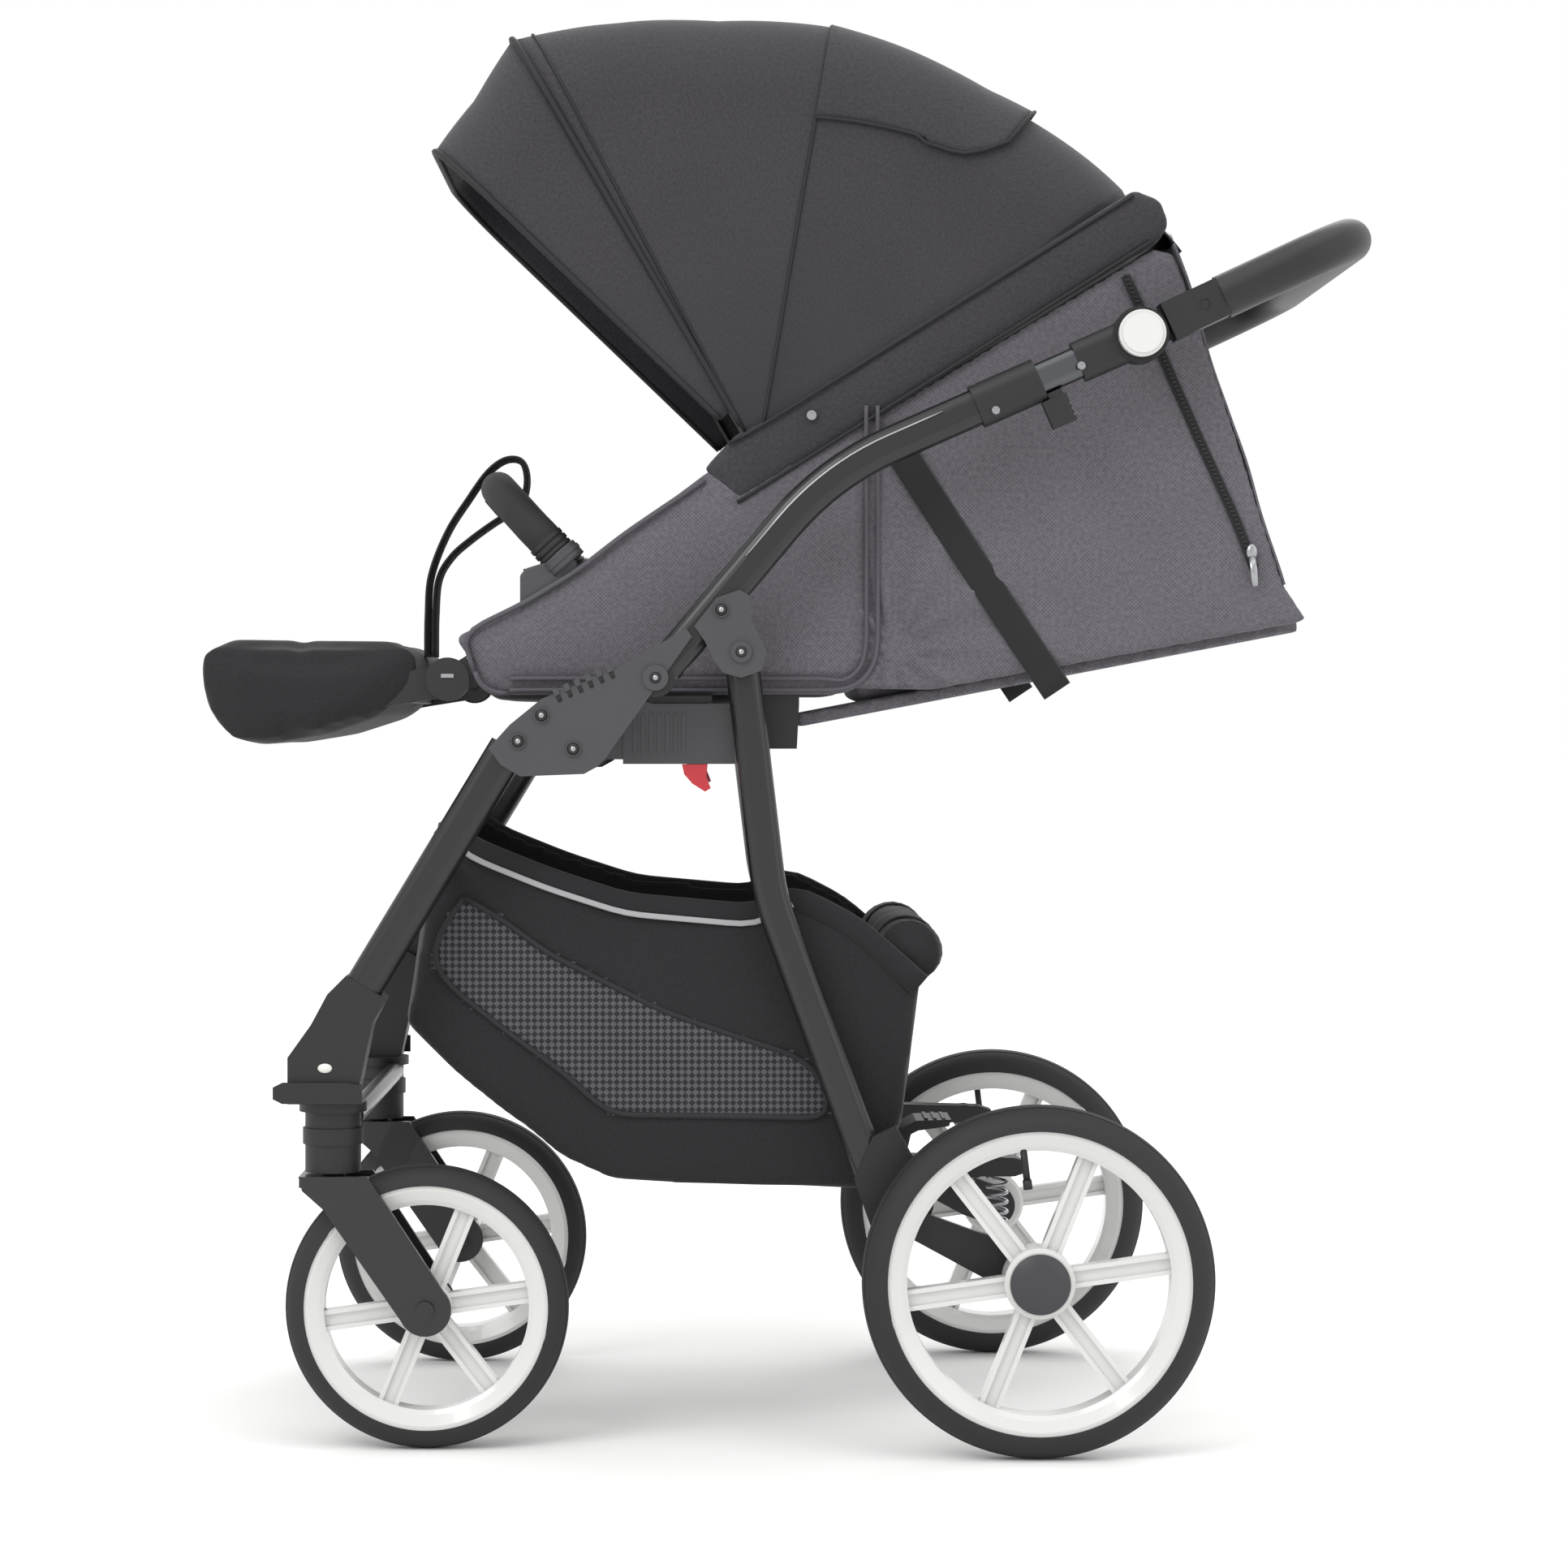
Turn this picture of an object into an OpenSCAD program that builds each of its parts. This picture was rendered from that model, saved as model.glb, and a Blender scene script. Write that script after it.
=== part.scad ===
// Folding pushchair: aluminium chassis, two large rear wheels on sprung arms, two
// swivelling front wheels, removable reclining seat with folding canopy, tilting handle.
// Millimetres. +X towards the handle, -X towards the footrest, +Z up, ground at Z 0.

/* [Overall] */
// Distance between the centre planes of the two rear wheels
rear_track = 560; // [500:1:640]
// Distance between the centre planes of the two front wheels
front_track = 460; // [420:1:500]
// Width of the seat shell over its fabric sides
seat_width = 399; // [360:1:420]

/* [Rear wheels] */
// Outside diameter of a rear tyre
rear_diameter = 300; // [260:1:320]
// Width of a rear tyre
rear_tyre_width = 46; // [36:1:50]
// Number of spokes in every wheel
spokes = 6; // [4:1:8]

// Width of a spoke, in the side view
spoke_width = 18; // [12:1:22]

/* [Front wheels] */
// Outside diameter of a front tyre
front_diameter = 244; // [200:1:250]
// Width of a front tyre
front_tyre_width = 40; // [32:1:40]
// Distance the front axle trails behind the swivel axis
trail = 81; // [60:1:85]

/* [Chassis tubes] */
// Thickness of the oval front and upper tubes, across the pushchair
tube_width = 22; // [18:1:24]
// Height of the upper tube section, in the side view
upper_tube_height = 32; // [28:1:36]
// Height of the front leg section, in the side view
front_leg_height = 33; // [28:1:36]
// Height of the rear leg section, in the side view
rear_leg_height = 30; // [24:1:34]
// Wall of every oval tube
tube_wall = 2; // [1.5:0.5:3]

/* [Handle] */
// Outside diameter of the wrapped handle grip
grip_diameter = 38; // [30:1:42]
// Outside corner radius of the handle, to the tube centre
handle_corner = 60; // [45:1:90]
// Distance from the tilt pivot to the middle of the cross grip
handle_reach = 208.54; // [190:0.01:220]

/* [Seat] */
// Diameter of the seat hoop tube
hoop_diameter = 18; // [16:1:20]
// Rise of the seat hoop, in degrees from level
hoop_angle = 31.5; // [30:0.5:33]
// Rise of the reclined backrest, in degrees from level
back_angle = 10.8; // [8:0.1:14]
// Diameter of the padded bumper bar
bumper_diameter = 33; // [26:1:36]

/* [Canopy] */
// Diameter of the canopy bow wire
bow_diameter = 5.4; // [4:0.2:5.4]
// Radius of the canopy shoulders
canopy_shoulder = 74; // [50:1:95]
// Thickness of the canopy and basket fabric
fabric = 2; // [1:0.5:3]

/* [Fits] */
// Clearance between a moving piece and the face it slides or turns past
running = 0.3; // [0.2:0.05:0.5]
// Radial clearance of a pin in its bore
pin_fit = 0.05; // [0.02:0.01:0.1]
// Clearance around a piece that stays where it was assembled
seat_fit = 0.02; // [0.01:0.01:0.05]

/* [Hidden] */
$fn = 64;
proud = 0.12;
a_pivot = [-108, 662];        // fold pivot: hinge plate to upper tube
b_pivot = [-35, 684];         // rear leg pivot on its bracket
d_pivot = [306, 955];         // handle tilt pivot
tube_bend = [40, 838];        // corner of the upper tube centre line
leg_bottom = [-402, 325];     // lower end of the front leg centre line
leg_top = [-234, 602.6];      // upper end of the front leg centre line
swivel_x = -386;              // swivel axis of a front fork
frame_y = 250;                // centre plane of front legs and upper tubes
tube_in = frame_y - tube_width / 2;
tube_out = frame_y + tube_width / 2;
plate_in = tube_out + 0.2;    // inner face of the hinge plates and brackets
plate_out = plate_in + 8;
rear_leg_y = 226;             // centre plane of the rear legs
rear_leg_in = rear_leg_y - 10;
rear_leg_out = rear_leg_y + 10;
rear_r = rear_diameter / 2;
front_r = front_diameter / 2;
rear_x = 217;
front_x = swivel_x + trail;
rear_y = rear_track / 2;
front_y = front_track / 2;
arm_pivot = [110, 195];       // suspension arm pivot
bar = [96, 215];              // rear cross bar
upper_dir = [0.9153, 0.4026]; // direction of the upper tube behind its bend
upper_angle = atan2(upper_dir[1], upper_dir[0]);
tube_end = d_pivot - 94 * upper_dir;
socket_start = d_pivot - 58 * upper_dir;
hoop_y = 186;
hoop_start = [-290, 664];
hoop_len = 739;
skin_in = seat_width / 2 - 4; // inner face of the seat side panels
skin_out = seat_width / 2;
foot_pivot = [-290, 661.5];   // footrest pivot
back_pivot = [0, 617];        // backrest pivot
bow_pivot = [-20, 856];       // canopy pivot
bow_r = bow_diameter / 2;
front_bow = [120.3, 432];     // bow angle and reach from the canopy pivot
mid_bow = [80.3, 390.6];
rear_bow = [34.4, 408.6];
visor_edge = [136.4, 396];
canopy_y = 193;
bumper_top = [-218, 796];     // where the bumper bar leaves its knuckles
bumper_axis = [-201, 186];    // gate axis of the bumper bar

// ---- shared shapes ----

function unit(v) = v / norm(v);
function turn(a, b) = atan2(a[0] * b[1] - a[1] * b[0], a[0] * b[0] + a[1] * b[1]);
function left(v) = [-v[1], v[0]];

// Oval section, w across the path plane and h within it, w less than or equal to h.
// The flats stand proud of the round ends by a hair, so that they never meet at a tangent.
module oval(w, h) {
    if (h - w < 0.01) circle(d = w, $fn = 48);
    else {
        square([w, h - w], center = true);
        for (s = [-1, 1]) translate([0, s * (h - w + proud) / 2]) circle(d = w - proud, $fn = 48);
    }
}

module section(w, h, wall) {
    difference() {
        oval(w, h);
        if (wall > 0) oval(w - 2 * wall, h - 2 * wall);
    }
}

// Tube along straight runs joined by round bends, drawn in the XY plane.
module path_tube(p, bend, w, h, wall = 0) {
    n = len(p);
    for (i = [0 : n - 2]) {
        d = unit(p[i + 1] - p[i]);
        t0 = i == 0 ? 0 : bend * tan(abs(turn(unit(p[i] - p[i - 1]), d)) / 2);
        t1 = i == n - 2 ? 0 : bend * tan(abs(turn(d, unit(p[i + 2] - p[i + 1]))) / 2);
        a = p[i] + d * t0;
        translate([a[0], a[1], 0]) rotate([0, 0, atan2(d[1], d[0])]) rotate([0, 90, 0])
            linear_extrude(norm(p[i + 1] - p[i]) - t0 - t1) section(w, h, wall);
    }
    if (n > 2) for (i = [1 : n - 2]) {
        d1 = unit(p[i] - p[i - 1]);
        d2 = unit(p[i + 1] - p[i]);
        a = turn(d1, d2);
        side = a > 0 ? 1 : -1;
        t = bend * tan(abs(a) / 2);
        c = p[i] - d1 * t + side * bend * left(d1);
        s = -side * left(d1);
        translate([c[0], c[1], 0]) rotate([0, 0, atan2(s[1], s[0]) + (a > 0 ? 0 : a)])
            rotate_extrude(angle = abs(a)) translate([bend, 0]) rotate(90) section(w, h, wall);
    }
}

// Tube of straight runs that meet in mitres, drawn in the XY plane.
module mitred_tube(p, w, h, wall = 0) {
    n = len(p);
    for (i = [0 : n - 2]) {
        d = unit(p[i + 1] - p[i]);
        e0 = i == 0 ? 0 : h;
        e1 = i == n - 2 ? 0 : h;
        a = p[i] - d * e0;
        difference() {
            translate([a[0], a[1], 0]) rotate([0, 0, atan2(d[1], d[0])]) rotate([0, 90, 0])
                linear_extrude(norm(p[i + 1] - p[i]) + e0 + e1) section(w, h, wall);
            if (i > 0) let (m = unit(d + unit(p[i] - p[i - 1])))
                translate([p[i][0], p[i][1], 0]) rotate([0, 0, atan2(m[1], m[0])])
                translate([-4 * h, -2 * h, -w]) cube([4 * h, 4 * h, 2 * w]);
            if (i < n - 2) let (m = unit(d + unit(p[i + 2] - p[i + 1])))
                translate([p[i + 1][0], p[i + 1][1], 0]) rotate([0, 0, atan2(m[1], m[0])])
                translate([0, -2 * h, -w]) cube([4 * h, 4 * h, 2 * w]);
        }
    }
}

// Stations [point, direction] of a line p0 p1 p2 whose corner is rounded in n steps.
function arc_path(p0, p1, p2, bend, n) = let (d1 = unit(p1 - p0), d2 = unit(p2 - p1),
    a = turn(d1, d2), side = a > 0 ? 1 : -1, l = left(d1),
    c = p1 - d1 * bend * tan(abs(a) / 2) + side * bend * l)
    concat([[p0, d1]], [for (i = [0 : n]) let (k = a * i / n)
        [c - side * bend * turned(l, k), turned(d1, k)]], [[p2, d2]]);
function turned(v, k) = [cos(k) * v[0] - sin(k) * v[1], sin(k) * v[0] + cos(k) * v[1]];
function oval_ring(w, h, m) = [for (q = [0 : m - 1]) let (a = 360 * (q + 0.5) / m)
    [w / 2 * cos(a), w / 2 * sin(a) + sign(sin(a)) * (h - w) / 2]];

// Solid oval bar swept along the stations, in the XY plane.
module swept(stations, w, h, m = 24) {
    n = len(stations);
    pts = [for (s = stations) for (k = oval_ring(w, h, m))
        [s[0][0] + k[1] * left(s[1])[0], s[0][1] + k[1] * left(s[1])[1], k[0]]];
    polyhedron(pts, concat([[for (q = [m - 1 : -1 : 0]) q]], [[for (q = [0 : m - 1]) (n - 1) * m + q]],
        [for (i = [0 : n - 2]) for (q = [0 : m - 1]) let (u = (q + 1) % m)
            [i * m + q, i * m + u, (i + 1) * m + u, (i + 1) * m + q]]));
}

// Path in the side view, at a given distance across.
module side_tube(p, y, bend, w, h, wall = 0) {
    translate([0, y, 0]) rotate([90, 0, 0]) path_tube(p, bend, w, h, wall);
}

// Side-view outline filled from y0 to y1.
module slab(y0, y1) {
    translate([0, y1, 0]) rotate([90, 0, 0]) linear_extrude(y1 - y0) children();
}

// Round bar across the pushchair at a side-view point.
module rod(p, r, y0, y1) {
    translate([p[0], y1, p[1]]) rotate([90, 0, 0]) cylinder(r = r, h = y1 - y0);
}

module pair() {
    children();
    mirror([0, 1, 0]) children();
}

// The side -1 is the near side, +1 the far side.
module on_side(s) {
    if (s > 0) children();
    else mirror([0, 1, 0]) children();
}

// Local axes at a side-view point, x turned by the given angle.
module at(p, angle) {
    translate([p[0], 0, p[1]]) rotate([0, -angle, 0]) children();
}

// ---- front frame ----

module front_legs() color("#2A2A2C") pair()
    side_tube([leg_bottom, leg_top], frame_y, 100, tube_width, front_leg_height, tube_wall);

module leg_knuckles() color("#202022") pair() difference() {
    slab(tube_in - 16, tube_out + 1) polygon([[-422, 298.2], [-364, 298.2], [-350, 366],
        [-338, 388], [-372, 408], [-388, 392], [-402, 366], [-422, 338]]);
    side_tube([leg_bottom, leg_top], frame_y, 100, tube_width + 2 * seat_fit,
        front_leg_height + 2 * seat_fit);
    translate([-401.5, tube_out - 6, 304]) cube([22, 10, 7]);
}

module swivel_housings() color("#2A2A2C") pair() difference() {
    union() {
        translate([swivel_x, front_y, 238]) cylinder(r = 24, h = 60);
        translate([swivel_x, front_y, 262]) cylinder(r = 26, h = 14);
        translate([swivel_x, front_y, 290]) cylinder(r = 29, h = 8);
    }
    translate([swivel_x, front_y, 236]) cylinder(r = 9 + pin_fit, h = 56);
    rod([-370, 284], 9 + seat_fit, 190, 214);
}

module front_crossbar() color("#252527")
    rod([-370, 284], 9, -214, 214);

plate_outline = [[-82, 704], [-77, 697], [-151, 593], [-158, 586], [-169, 580], [-223, 578],
    [-240, 588], [-250, 602], [-232, 622], [-205, 644], [-138, 671]];

module hinge_plates() color("#5C5C5E") pair() difference() {
    union() {
        slab(plate_in, plate_out) polygon(plate_outline);
        slab(tube_in, plate_in) polygon([[-242, 590], [-222, 579.5], [-170, 582], [-152, 598],
            [-140, 628], [-150, 645], [-205, 641], [-232, 618]]);
        for (x = [0 : 5]) at([-192 + 9 * x, 649 + 4 * x], 26)
            translate([-2.5, plate_out - 6, -2]) cube([5, 8, 6]);
    }
    side_tube([leg_bottom, leg_top], frame_y, 100, tube_width + 2 * seat_fit,
        front_leg_height + 2 * seat_fit);
    rod(a_pivot, 8 + seat_fit, 230, 280);
    for (p = [[-205, 630], [-225, 608], [-178, 601.5]]) rod(p, 4 + seat_fit, plate_out - 5, 280);
}

// Fold pivot pins and the rivets of each plate.
module hinge_pins() color("#8A8B8E") pair() {
    rod(a_pivot, 8, tube_in - 1.5, plate_out + 2);
    rod(a_pivot, 11, plate_out + 0.1, plate_out + 3);
    for (p = [[-205, 630], [-225, 608], [-178, 601.5]]) {
        rod(p, 4, plate_out - 5, plate_out + 1);
        rod(p, 6.5, plate_out + 0.1, plate_out + 2.5);
    }
}

module seat_adapters() color("#5C5C5E") pair() difference() {
    union() {
        slab(199.5, 213) polygon([[-137, 588], [-40, 588], [-40, 632], [-48, 640], [-129, 640],
            [-137, 632]]);
        slab(201, 212) polygon([[-236, 592], [-137, 592], [-137, 622], [-208, 630], [-236, 612]]);
        slab(211, tube_in - seat_fit) polygon([[-236, 592], [-210, 592], [-210, 622], [-236, 612]]);
        for (i = [0 : 6]) translate([-128 + 7 * i, 212, 596]) cube([3, 2, 36]);
    }
    translate([-113, 203, 612]) cube([50, 6, 40]);
    translate([-80, 203.8, 580]) cube([13, 4.4, 28]);
}

basket_outer = [[-295, 544], [-270, 523], [-203, 496], [-135, 474], [-22, 464], [10, 482],
    [63, 455], [121, 404], [104, 274], [73, 219], [70, 216], [-145, 226], [-190, 247],
    [-285, 322], [-333, 370]];
basket_inner = [[-293, 542], [-280, 600], [60, 600], [118.8, 404.6], [102, 275], [71.8, 220.5],
    [69, 218.1], [-144.5, 228.1], [-188.9, 248.8], [-283.6, 323.6], [-330.8, 370.8]];

// Fabric tray with the webbing loops that hang it from the four legs.
module basket() color("#333136") {
    difference() {
        slab(-200, 200) polygon(basket_outer);
        slab(-200 + fabric, 200 - fabric) polygon(basket_inner);
    }
    pair() translate([-300, 199, 498]) cube([14, tube_in - 199 - seat_fit, 12]);
    pair() translate([-8, 199, 448]) cube([14, rear_leg_in - 199 - seat_fit, 12]);
}

// ---- handle frame ----

upper_first = unit(tube_bend - a_pivot);
upper_start = a_pivot + 12 * upper_first;

module upper_tubes() color("#2A2A2C") pair() difference() {
    union() {
        translate([0, frame_y, 0]) rotate([90, 0, 0]) difference() {
            swept(arc_path(upper_start, tube_bend, tube_end, 250, 8), tube_width,
                upper_tube_height);
            swept(arc_path(upper_start - 0.1 * upper_first, tube_bend,
                tube_end + 0.1 * upper_dir, 250, 8), tube_width - 2 * tube_wall,
                upper_tube_height - 2 * tube_wall);
        }
        rod(a_pivot, 16.4, tube_in + 0.2, tube_out - 0.2);
    }
    rod(a_pivot, 8 + pin_fit, 230, 270);
}

module leg_brackets() color("#4A4A4D") pair() difference() {
    union() {
        slab(plate_in, plate_out) polygon([[-75, 706], [-66, 693], [-58, 676], [-50, 666],
            [-35, 662], [-18, 668], [-13, 684], [-27, 712], [-27, 731], [-36, 737], [-56, 730]]);
        rod(b_pivot, 17, rear_leg_out + running, plate_in + 1);
    }
    rod(b_pivot, 6 + seat_fit, 200, 290);
    rod([-52, 720], 4 + seat_fit, plate_out - 5, 290);
}

module bracket_pins() color("#8A8B8E") pair() {
    rod(b_pivot, 6, rear_leg_in - 1.5, plate_out + 1);
    rod(b_pivot, 9, plate_out + 0.1, plate_out + 3);
    rod(b_pivot, 8.5, rear_leg_in - 2.2, rear_leg_in - running);
    rod([-52, 720], 4, plate_out - 5, plate_out + 1);
    rod([-52, 720], 6.5, plate_out + 0.1, plate_out + 2.5);
}

module collars() color("#232325") pair() translate([0, frame_y, 0]) at(d_pivot, upper_angle)
    difference() {
        translate([-153, 0, 0]) rotate([90, 0, 90]) linear_extrude(59) difference() {
            oval(tube_width + 5, upper_tube_height + 6);
            oval(tube_width + 2 * seat_fit, upper_tube_height + 2 * seat_fit);
        }
        for (x = [-147, -99]) translate([x, -20, 17.5]) cube([1.5, 40, 4]);
    }

module inner_tubes() color("#B9BBBE") pair()
    side_tube([d_pivot - 150 * upper_dir, socket_start], frame_y, 100,
        tube_width - 2 * tube_wall - 10 * seat_fit,
        upper_tube_height - 2 * tube_wall - 10 * seat_fit, tube_wall);

module handle_sockets() color("#232325") pair() difference() {
    union() {
        side_tube([socket_start, d_pivot], frame_y, 100, tube_width, 36);
        rod(d_pivot, 24, 246, tube_out + 0.3);
    }
    rod(d_pivot, 24.4, 220, 246);
    rod(d_pivot, 6 + pin_fit, 220, 247.5);
    rod(d_pivot, 9 + pin_fit, 250, 280);
}

// Sliding catch under the collar that frees the fold.
module fold_trigger(s) color("#3A3A3D") on_side(s) translate([0, frame_y, 0])
    at(d_pivot, upper_angle) difference() {
        union() {
            translate([-100, -7, -44]) cube([22, 14, 44 - 19 - running]);
            translate([-93, -6, -20]) cube([13, 12, 20 - 14 - running]);
        }
        for (z = [-40, -35, -30]) translate([-79.5, -8, z]) cube([3, 16, 2]);
    }

// ---- rear frame ----

rear_bend = [-10, 474];
rear_foot = [89, 205];
rear_first = unit(rear_bend - b_pivot);
rear_start = b_pivot + 12 * rear_first;

module rear_legs() color("#2A2A2C") pair() difference() {
    union() {
        translate([0, rear_leg_y, 0]) rotate([90, 0, 0]) difference() {
            swept(arc_path(rear_start, rear_bend, rear_foot, 200, 6), 20, rear_leg_height);
            swept(arc_path(rear_start - 0.1 * rear_first, rear_bend, rear_foot +
                0.1 * unit(rear_foot - rear_bend), 200, 6), 20 - 2 * tube_wall,
                rear_leg_height - 2 * tube_wall);
        }
        rod(b_pivot, 15.6, rear_leg_in + 0.2, rear_leg_out - 0.2);
    }
    rod(b_pivot, 6 + pin_fit, 200, 240);
}

module rear_housings() color("#252527") pair() difference() {
    union() {
        slab(rear_leg_in - 2, rear_leg_out + 2) polygon([[62, 232], [78, 268], [98, 278],
            [112, 252], [200, 250], [212, 246], [212, 238], [200, 234], [136, 232], [130, 206],
            [122, 186], [98, 182], [76, 192]]);
        rod([186, 238], 13, rear_leg_in - 2, rear_leg_out + 2);
    }
    side_tube([rear_bend, rear_foot], rear_leg_y, 200, 20 + 2 * seat_fit,
        rear_leg_height + 2 * seat_fit);
    rod(arm_pivot, 7 + pin_fit, 200, 240);
    rod(bar, 12 + seat_fit, 205, rear_leg_in + seat_fit);
    translate([170, 210, 200]) cube([32, 32, 34]);
}

module rear_crossbar() color("#252527")
    rod(bar, 12, -rear_leg_in + seat_fit, rear_leg_in - seat_fit);

module brake_pedal() color("#3A3A3D") difference() {
    union() {
        rod(bar, 18, -28, 28);
        slab(-34, 34) polygon([[100, 228], [122, 249], [128, 252], [156, 256], [158, 262],
            [126, 261], [112, 254], [92, 231]]);
        for (x = [134, 142, 150]) translate([x, -30, 257]) cube([3, 60, 6]);
    }
    rod(bar, 12 + pin_fit, -40, 40);
}

arm_y = rear_leg_out + 2 + running;

module suspension_arm(s) color("#38383A") on_side(s) union() {
    slab(arm_y, arm_y + 9) {
        polygon([[108, 209], [112, 181], [186, 141], [217, 130], [234, 150], [217, 170],
            [196, 178], [160, 190]]);
        translate(arm_pivot) circle(r = 14.5);
        translate([rear_x, rear_r]) circle(r = 20);
    }
    rod(arm_pivot, 7, rear_leg_in - 1, arm_y + 1);
    rod([rear_x, rear_r], 8, arm_y, rear_y + 9);
    translate([186, rear_leg_y, 168]) cylinder(r = 11.5, h = 8);
    translate([178, rear_leg_y, 168]) cube([16, arm_y - rear_leg_y + 1, 8]);
}

// Each turn of the coil is a ring on a thin inner sleeve.
module spring(s) color("#8A8B8E") on_side(s) translate([186, rear_leg_y, 176])
    rotate_extrude() polygon(concat([[6, 58], [6, 0]],
        [for (i = [0 : 6]) each [[7.4, 8.2 * i], [9.6, 8.2 * i + 0.8], [10, 8.2 * i + 2],
            [9.6, 8.2 * i + 3.2], [7.4, 8.2 * i + 4]]], [[7.4, 58]]));

// ---- wheels ----

// Profile of revolution about the wheel axle at (p), mid plane y, x = radius, y = outwards.
module spun(x, z, y) {
    translate([x, y, z]) rotate([-90, 0, 0]) rotate_extrude($fn = 96) children();
}

module tyre(r, w, bead) {
    difference() {
        union() {
            translate([r - w / 2, 0]) circle(d = w, $fn = 48);
            translate([bead, -w * 0.36]) square([r - w / 2 - bead, w * 0.72]);
        }
        translate([0, -w]) square([bead, 2 * w]);
    }
}

module wheel_tyre(x, z, y, r, w, bead) color("#3B3B3D") difference() {
    spun(x, z, y) tyre(r, w, bead);
    for (g = [-0.2, 0.2]) spun(x, z, y) translate([r - 2.4, g * w - 1]) square([8, 2]);
}

module wheel_rim(x, z, y, bead, inner, hub, w, bore) color("#E9E9E7") difference() {
    union() {
        spun(x, z, y) polygon([[bead - 0.3, -w * 0.44], [bead - 0.3, w * 0.44], [bead - 4, w * 0.44],
            [inner + 4, w * 0.34], [inner, w * 0.28], [inner, -w * 0.28], [inner + 4, -w * 0.34],
            [bead - 4, -w * 0.44]]);
        spun(x, z, y) polygon([[0, -w * 0.5], [0, w * 0.42], [hub - 3, w * 0.42], [hub, w * 0.34],
            [hub, -w * 0.42], [hub - 3, -w * 0.5]]);
        translate([x, y, z]) for (i = [0 : spokes - 1]) rotate([0, -(8 + i * 360 / spokes), 0]) {
            translate([hub - 3, -4, -spoke_width / 2]) cube([inner - hub + 6, 8, spoke_width]);
            for (k = [-1, 1]) translate([hub - 3, -7.5, k * (spoke_width / 2 - 2) - 1.9])
                cube([inner - hub + 6, 15, 3.8]);
        }
    }
    rod([x, z], bore + pin_fit, y - w, y + w);
}

module wheel_cap(x, z, y, r, w) color("#4B4B4E")
    spun(x, z, y) intersection() {
        translate([0, w * 0.42 + 0.1 - 48]) circle(r = 57, $fn = 96);
        translate([0, w * 0.42 + 0.1]) square([r, 12]);
    }

rear_bead = rear_r - 21;
front_bead = front_r - 17;

module rear_tyre(s) on_side(s) wheel_tyre(rear_x, rear_r, rear_y, rear_r, rear_tyre_width, rear_bead);
module rear_rim(s) on_side(s) wheel_rim(rear_x, rear_r, rear_y, rear_bead, rear_bead - 17, 30,
    rear_tyre_width, 8);
module rear_cap(s) on_side(s) wheel_cap(rear_x, rear_r, rear_y, 25.5, rear_tyre_width);

module front_tyre(s) on_side(s) wheel_tyre(front_x, front_r, front_y, front_r, front_tyre_width,
    front_bead);
module front_rim(s) on_side(s) wheel_rim(front_x, front_r, front_y, front_bead, front_bead - 17, 22,
    front_tyre_width, 6);

// The blade either side of the wheel, the crown over it and the swivel post.
module fork(s) color("#2A2A2C") on_side(s) {
    half = front_tyre_width / 2 + 3;
    for (k = [-1, 1]) slab(front_y + (k > 0 ? half : -half - 6), front_y + (k > 0 ? half + 6 : -half)) {
        polygon([[-413, 236], [-354, 236], [-338, 212], [-286.8, 134.4], [-323.2, 109.6],
            [-392, 208], [-410, 224]]);
        translate([front_x, front_r]) circle(r = 22.4);
    }
    translate([-413, front_y - half - 1, 226]) cube([39, 2 * half + 2, 10]);
    translate([swivel_x, front_y, 235]) cylinder(r = 9, h = 55);
    rod([front_x, front_r], 6, front_y - half - 1, front_y + half + 1);
    for (k = [-1, 1]) rod([front_x, front_r], 8, front_y + k * (half + 7.5) - 2,
        front_y + k * (half + 7.5) + 2);
}

module swivel_lock(s) color("#3A3A3D") on_side(s) {
    slab(tube_out + 1 + running, tube_out + 6) polygon([[-434, 303], [-426, 299], [-358, 299],
        [-358, 315], [-372, 317], [-426, 317], [-434, 313]]);
    translate([-401, tube_out - 4, 304.5]) cube([12, 6, 6]);
}

// ---- handle ----

module handle_arms() color("#232325") pair() difference() {
    union() {
        slab(230, 246 - running) {
            translate(d_pivot) circle(r = 23.5);
            translate(d_pivot) rotate(25) translate([0, -14]) square([40, 28]);
        }
        slab(229, 262) translate(d_pivot) rotate(25) translate([26, -17]) square([52, 34]);
        rod(d_pivot, 6, 232, 247);
    }
    at(d_pivot, 25) translate([60, 262.5, 0]) rotate([90, 0, 0]) cylinder(r = 5, h = 1.5);
}

module handle_grip() color("#5A5B5E") at(d_pivot, 25) difference() {
    path_tube([[78 + seat_fit, -246], [handle_reach, -246], [handle_reach, 246],
        [78 + seat_fit, 246]], handle_corner, grip_diameter, grip_diameter);
    path_tube([[70, -246], [handle_reach, -246], [handle_reach, 246],
        [70, 246]], handle_corner, grip_diameter - 12, grip_diameter - 12);
}

module handle_button(s) color("#E9E9E7") on_side(s) {
    rod(d_pivot, 9, 254.5, 268);
    rod(d_pivot, 20, tube_out + 5, tube_out + 14);
    rod(d_pivot, 17, tube_out + 13, tube_out + 16);
}

// ---- seat ----

module seat_release(s) color("#C8202C") on_side(s) {
    slab(201, 212) polygon([[-86, 587.7], [-64, 587.7], [-65, 577], [-61, 567], [-66, 564],
        [-77, 571], [-84, 579]]);
    translate([-79.5, 204.1, 586]) cube([12, 3.8, 16]);
}

module seat_hoop() color("#252527") at(hoop_start, hoop_angle)
    path_tube([[24, -hoop_y], [hoop_len, -hoop_y], [hoop_len, hoop_y], [24, hoop_y]], 60,
        hoop_diameter, hoop_diameter);

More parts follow.
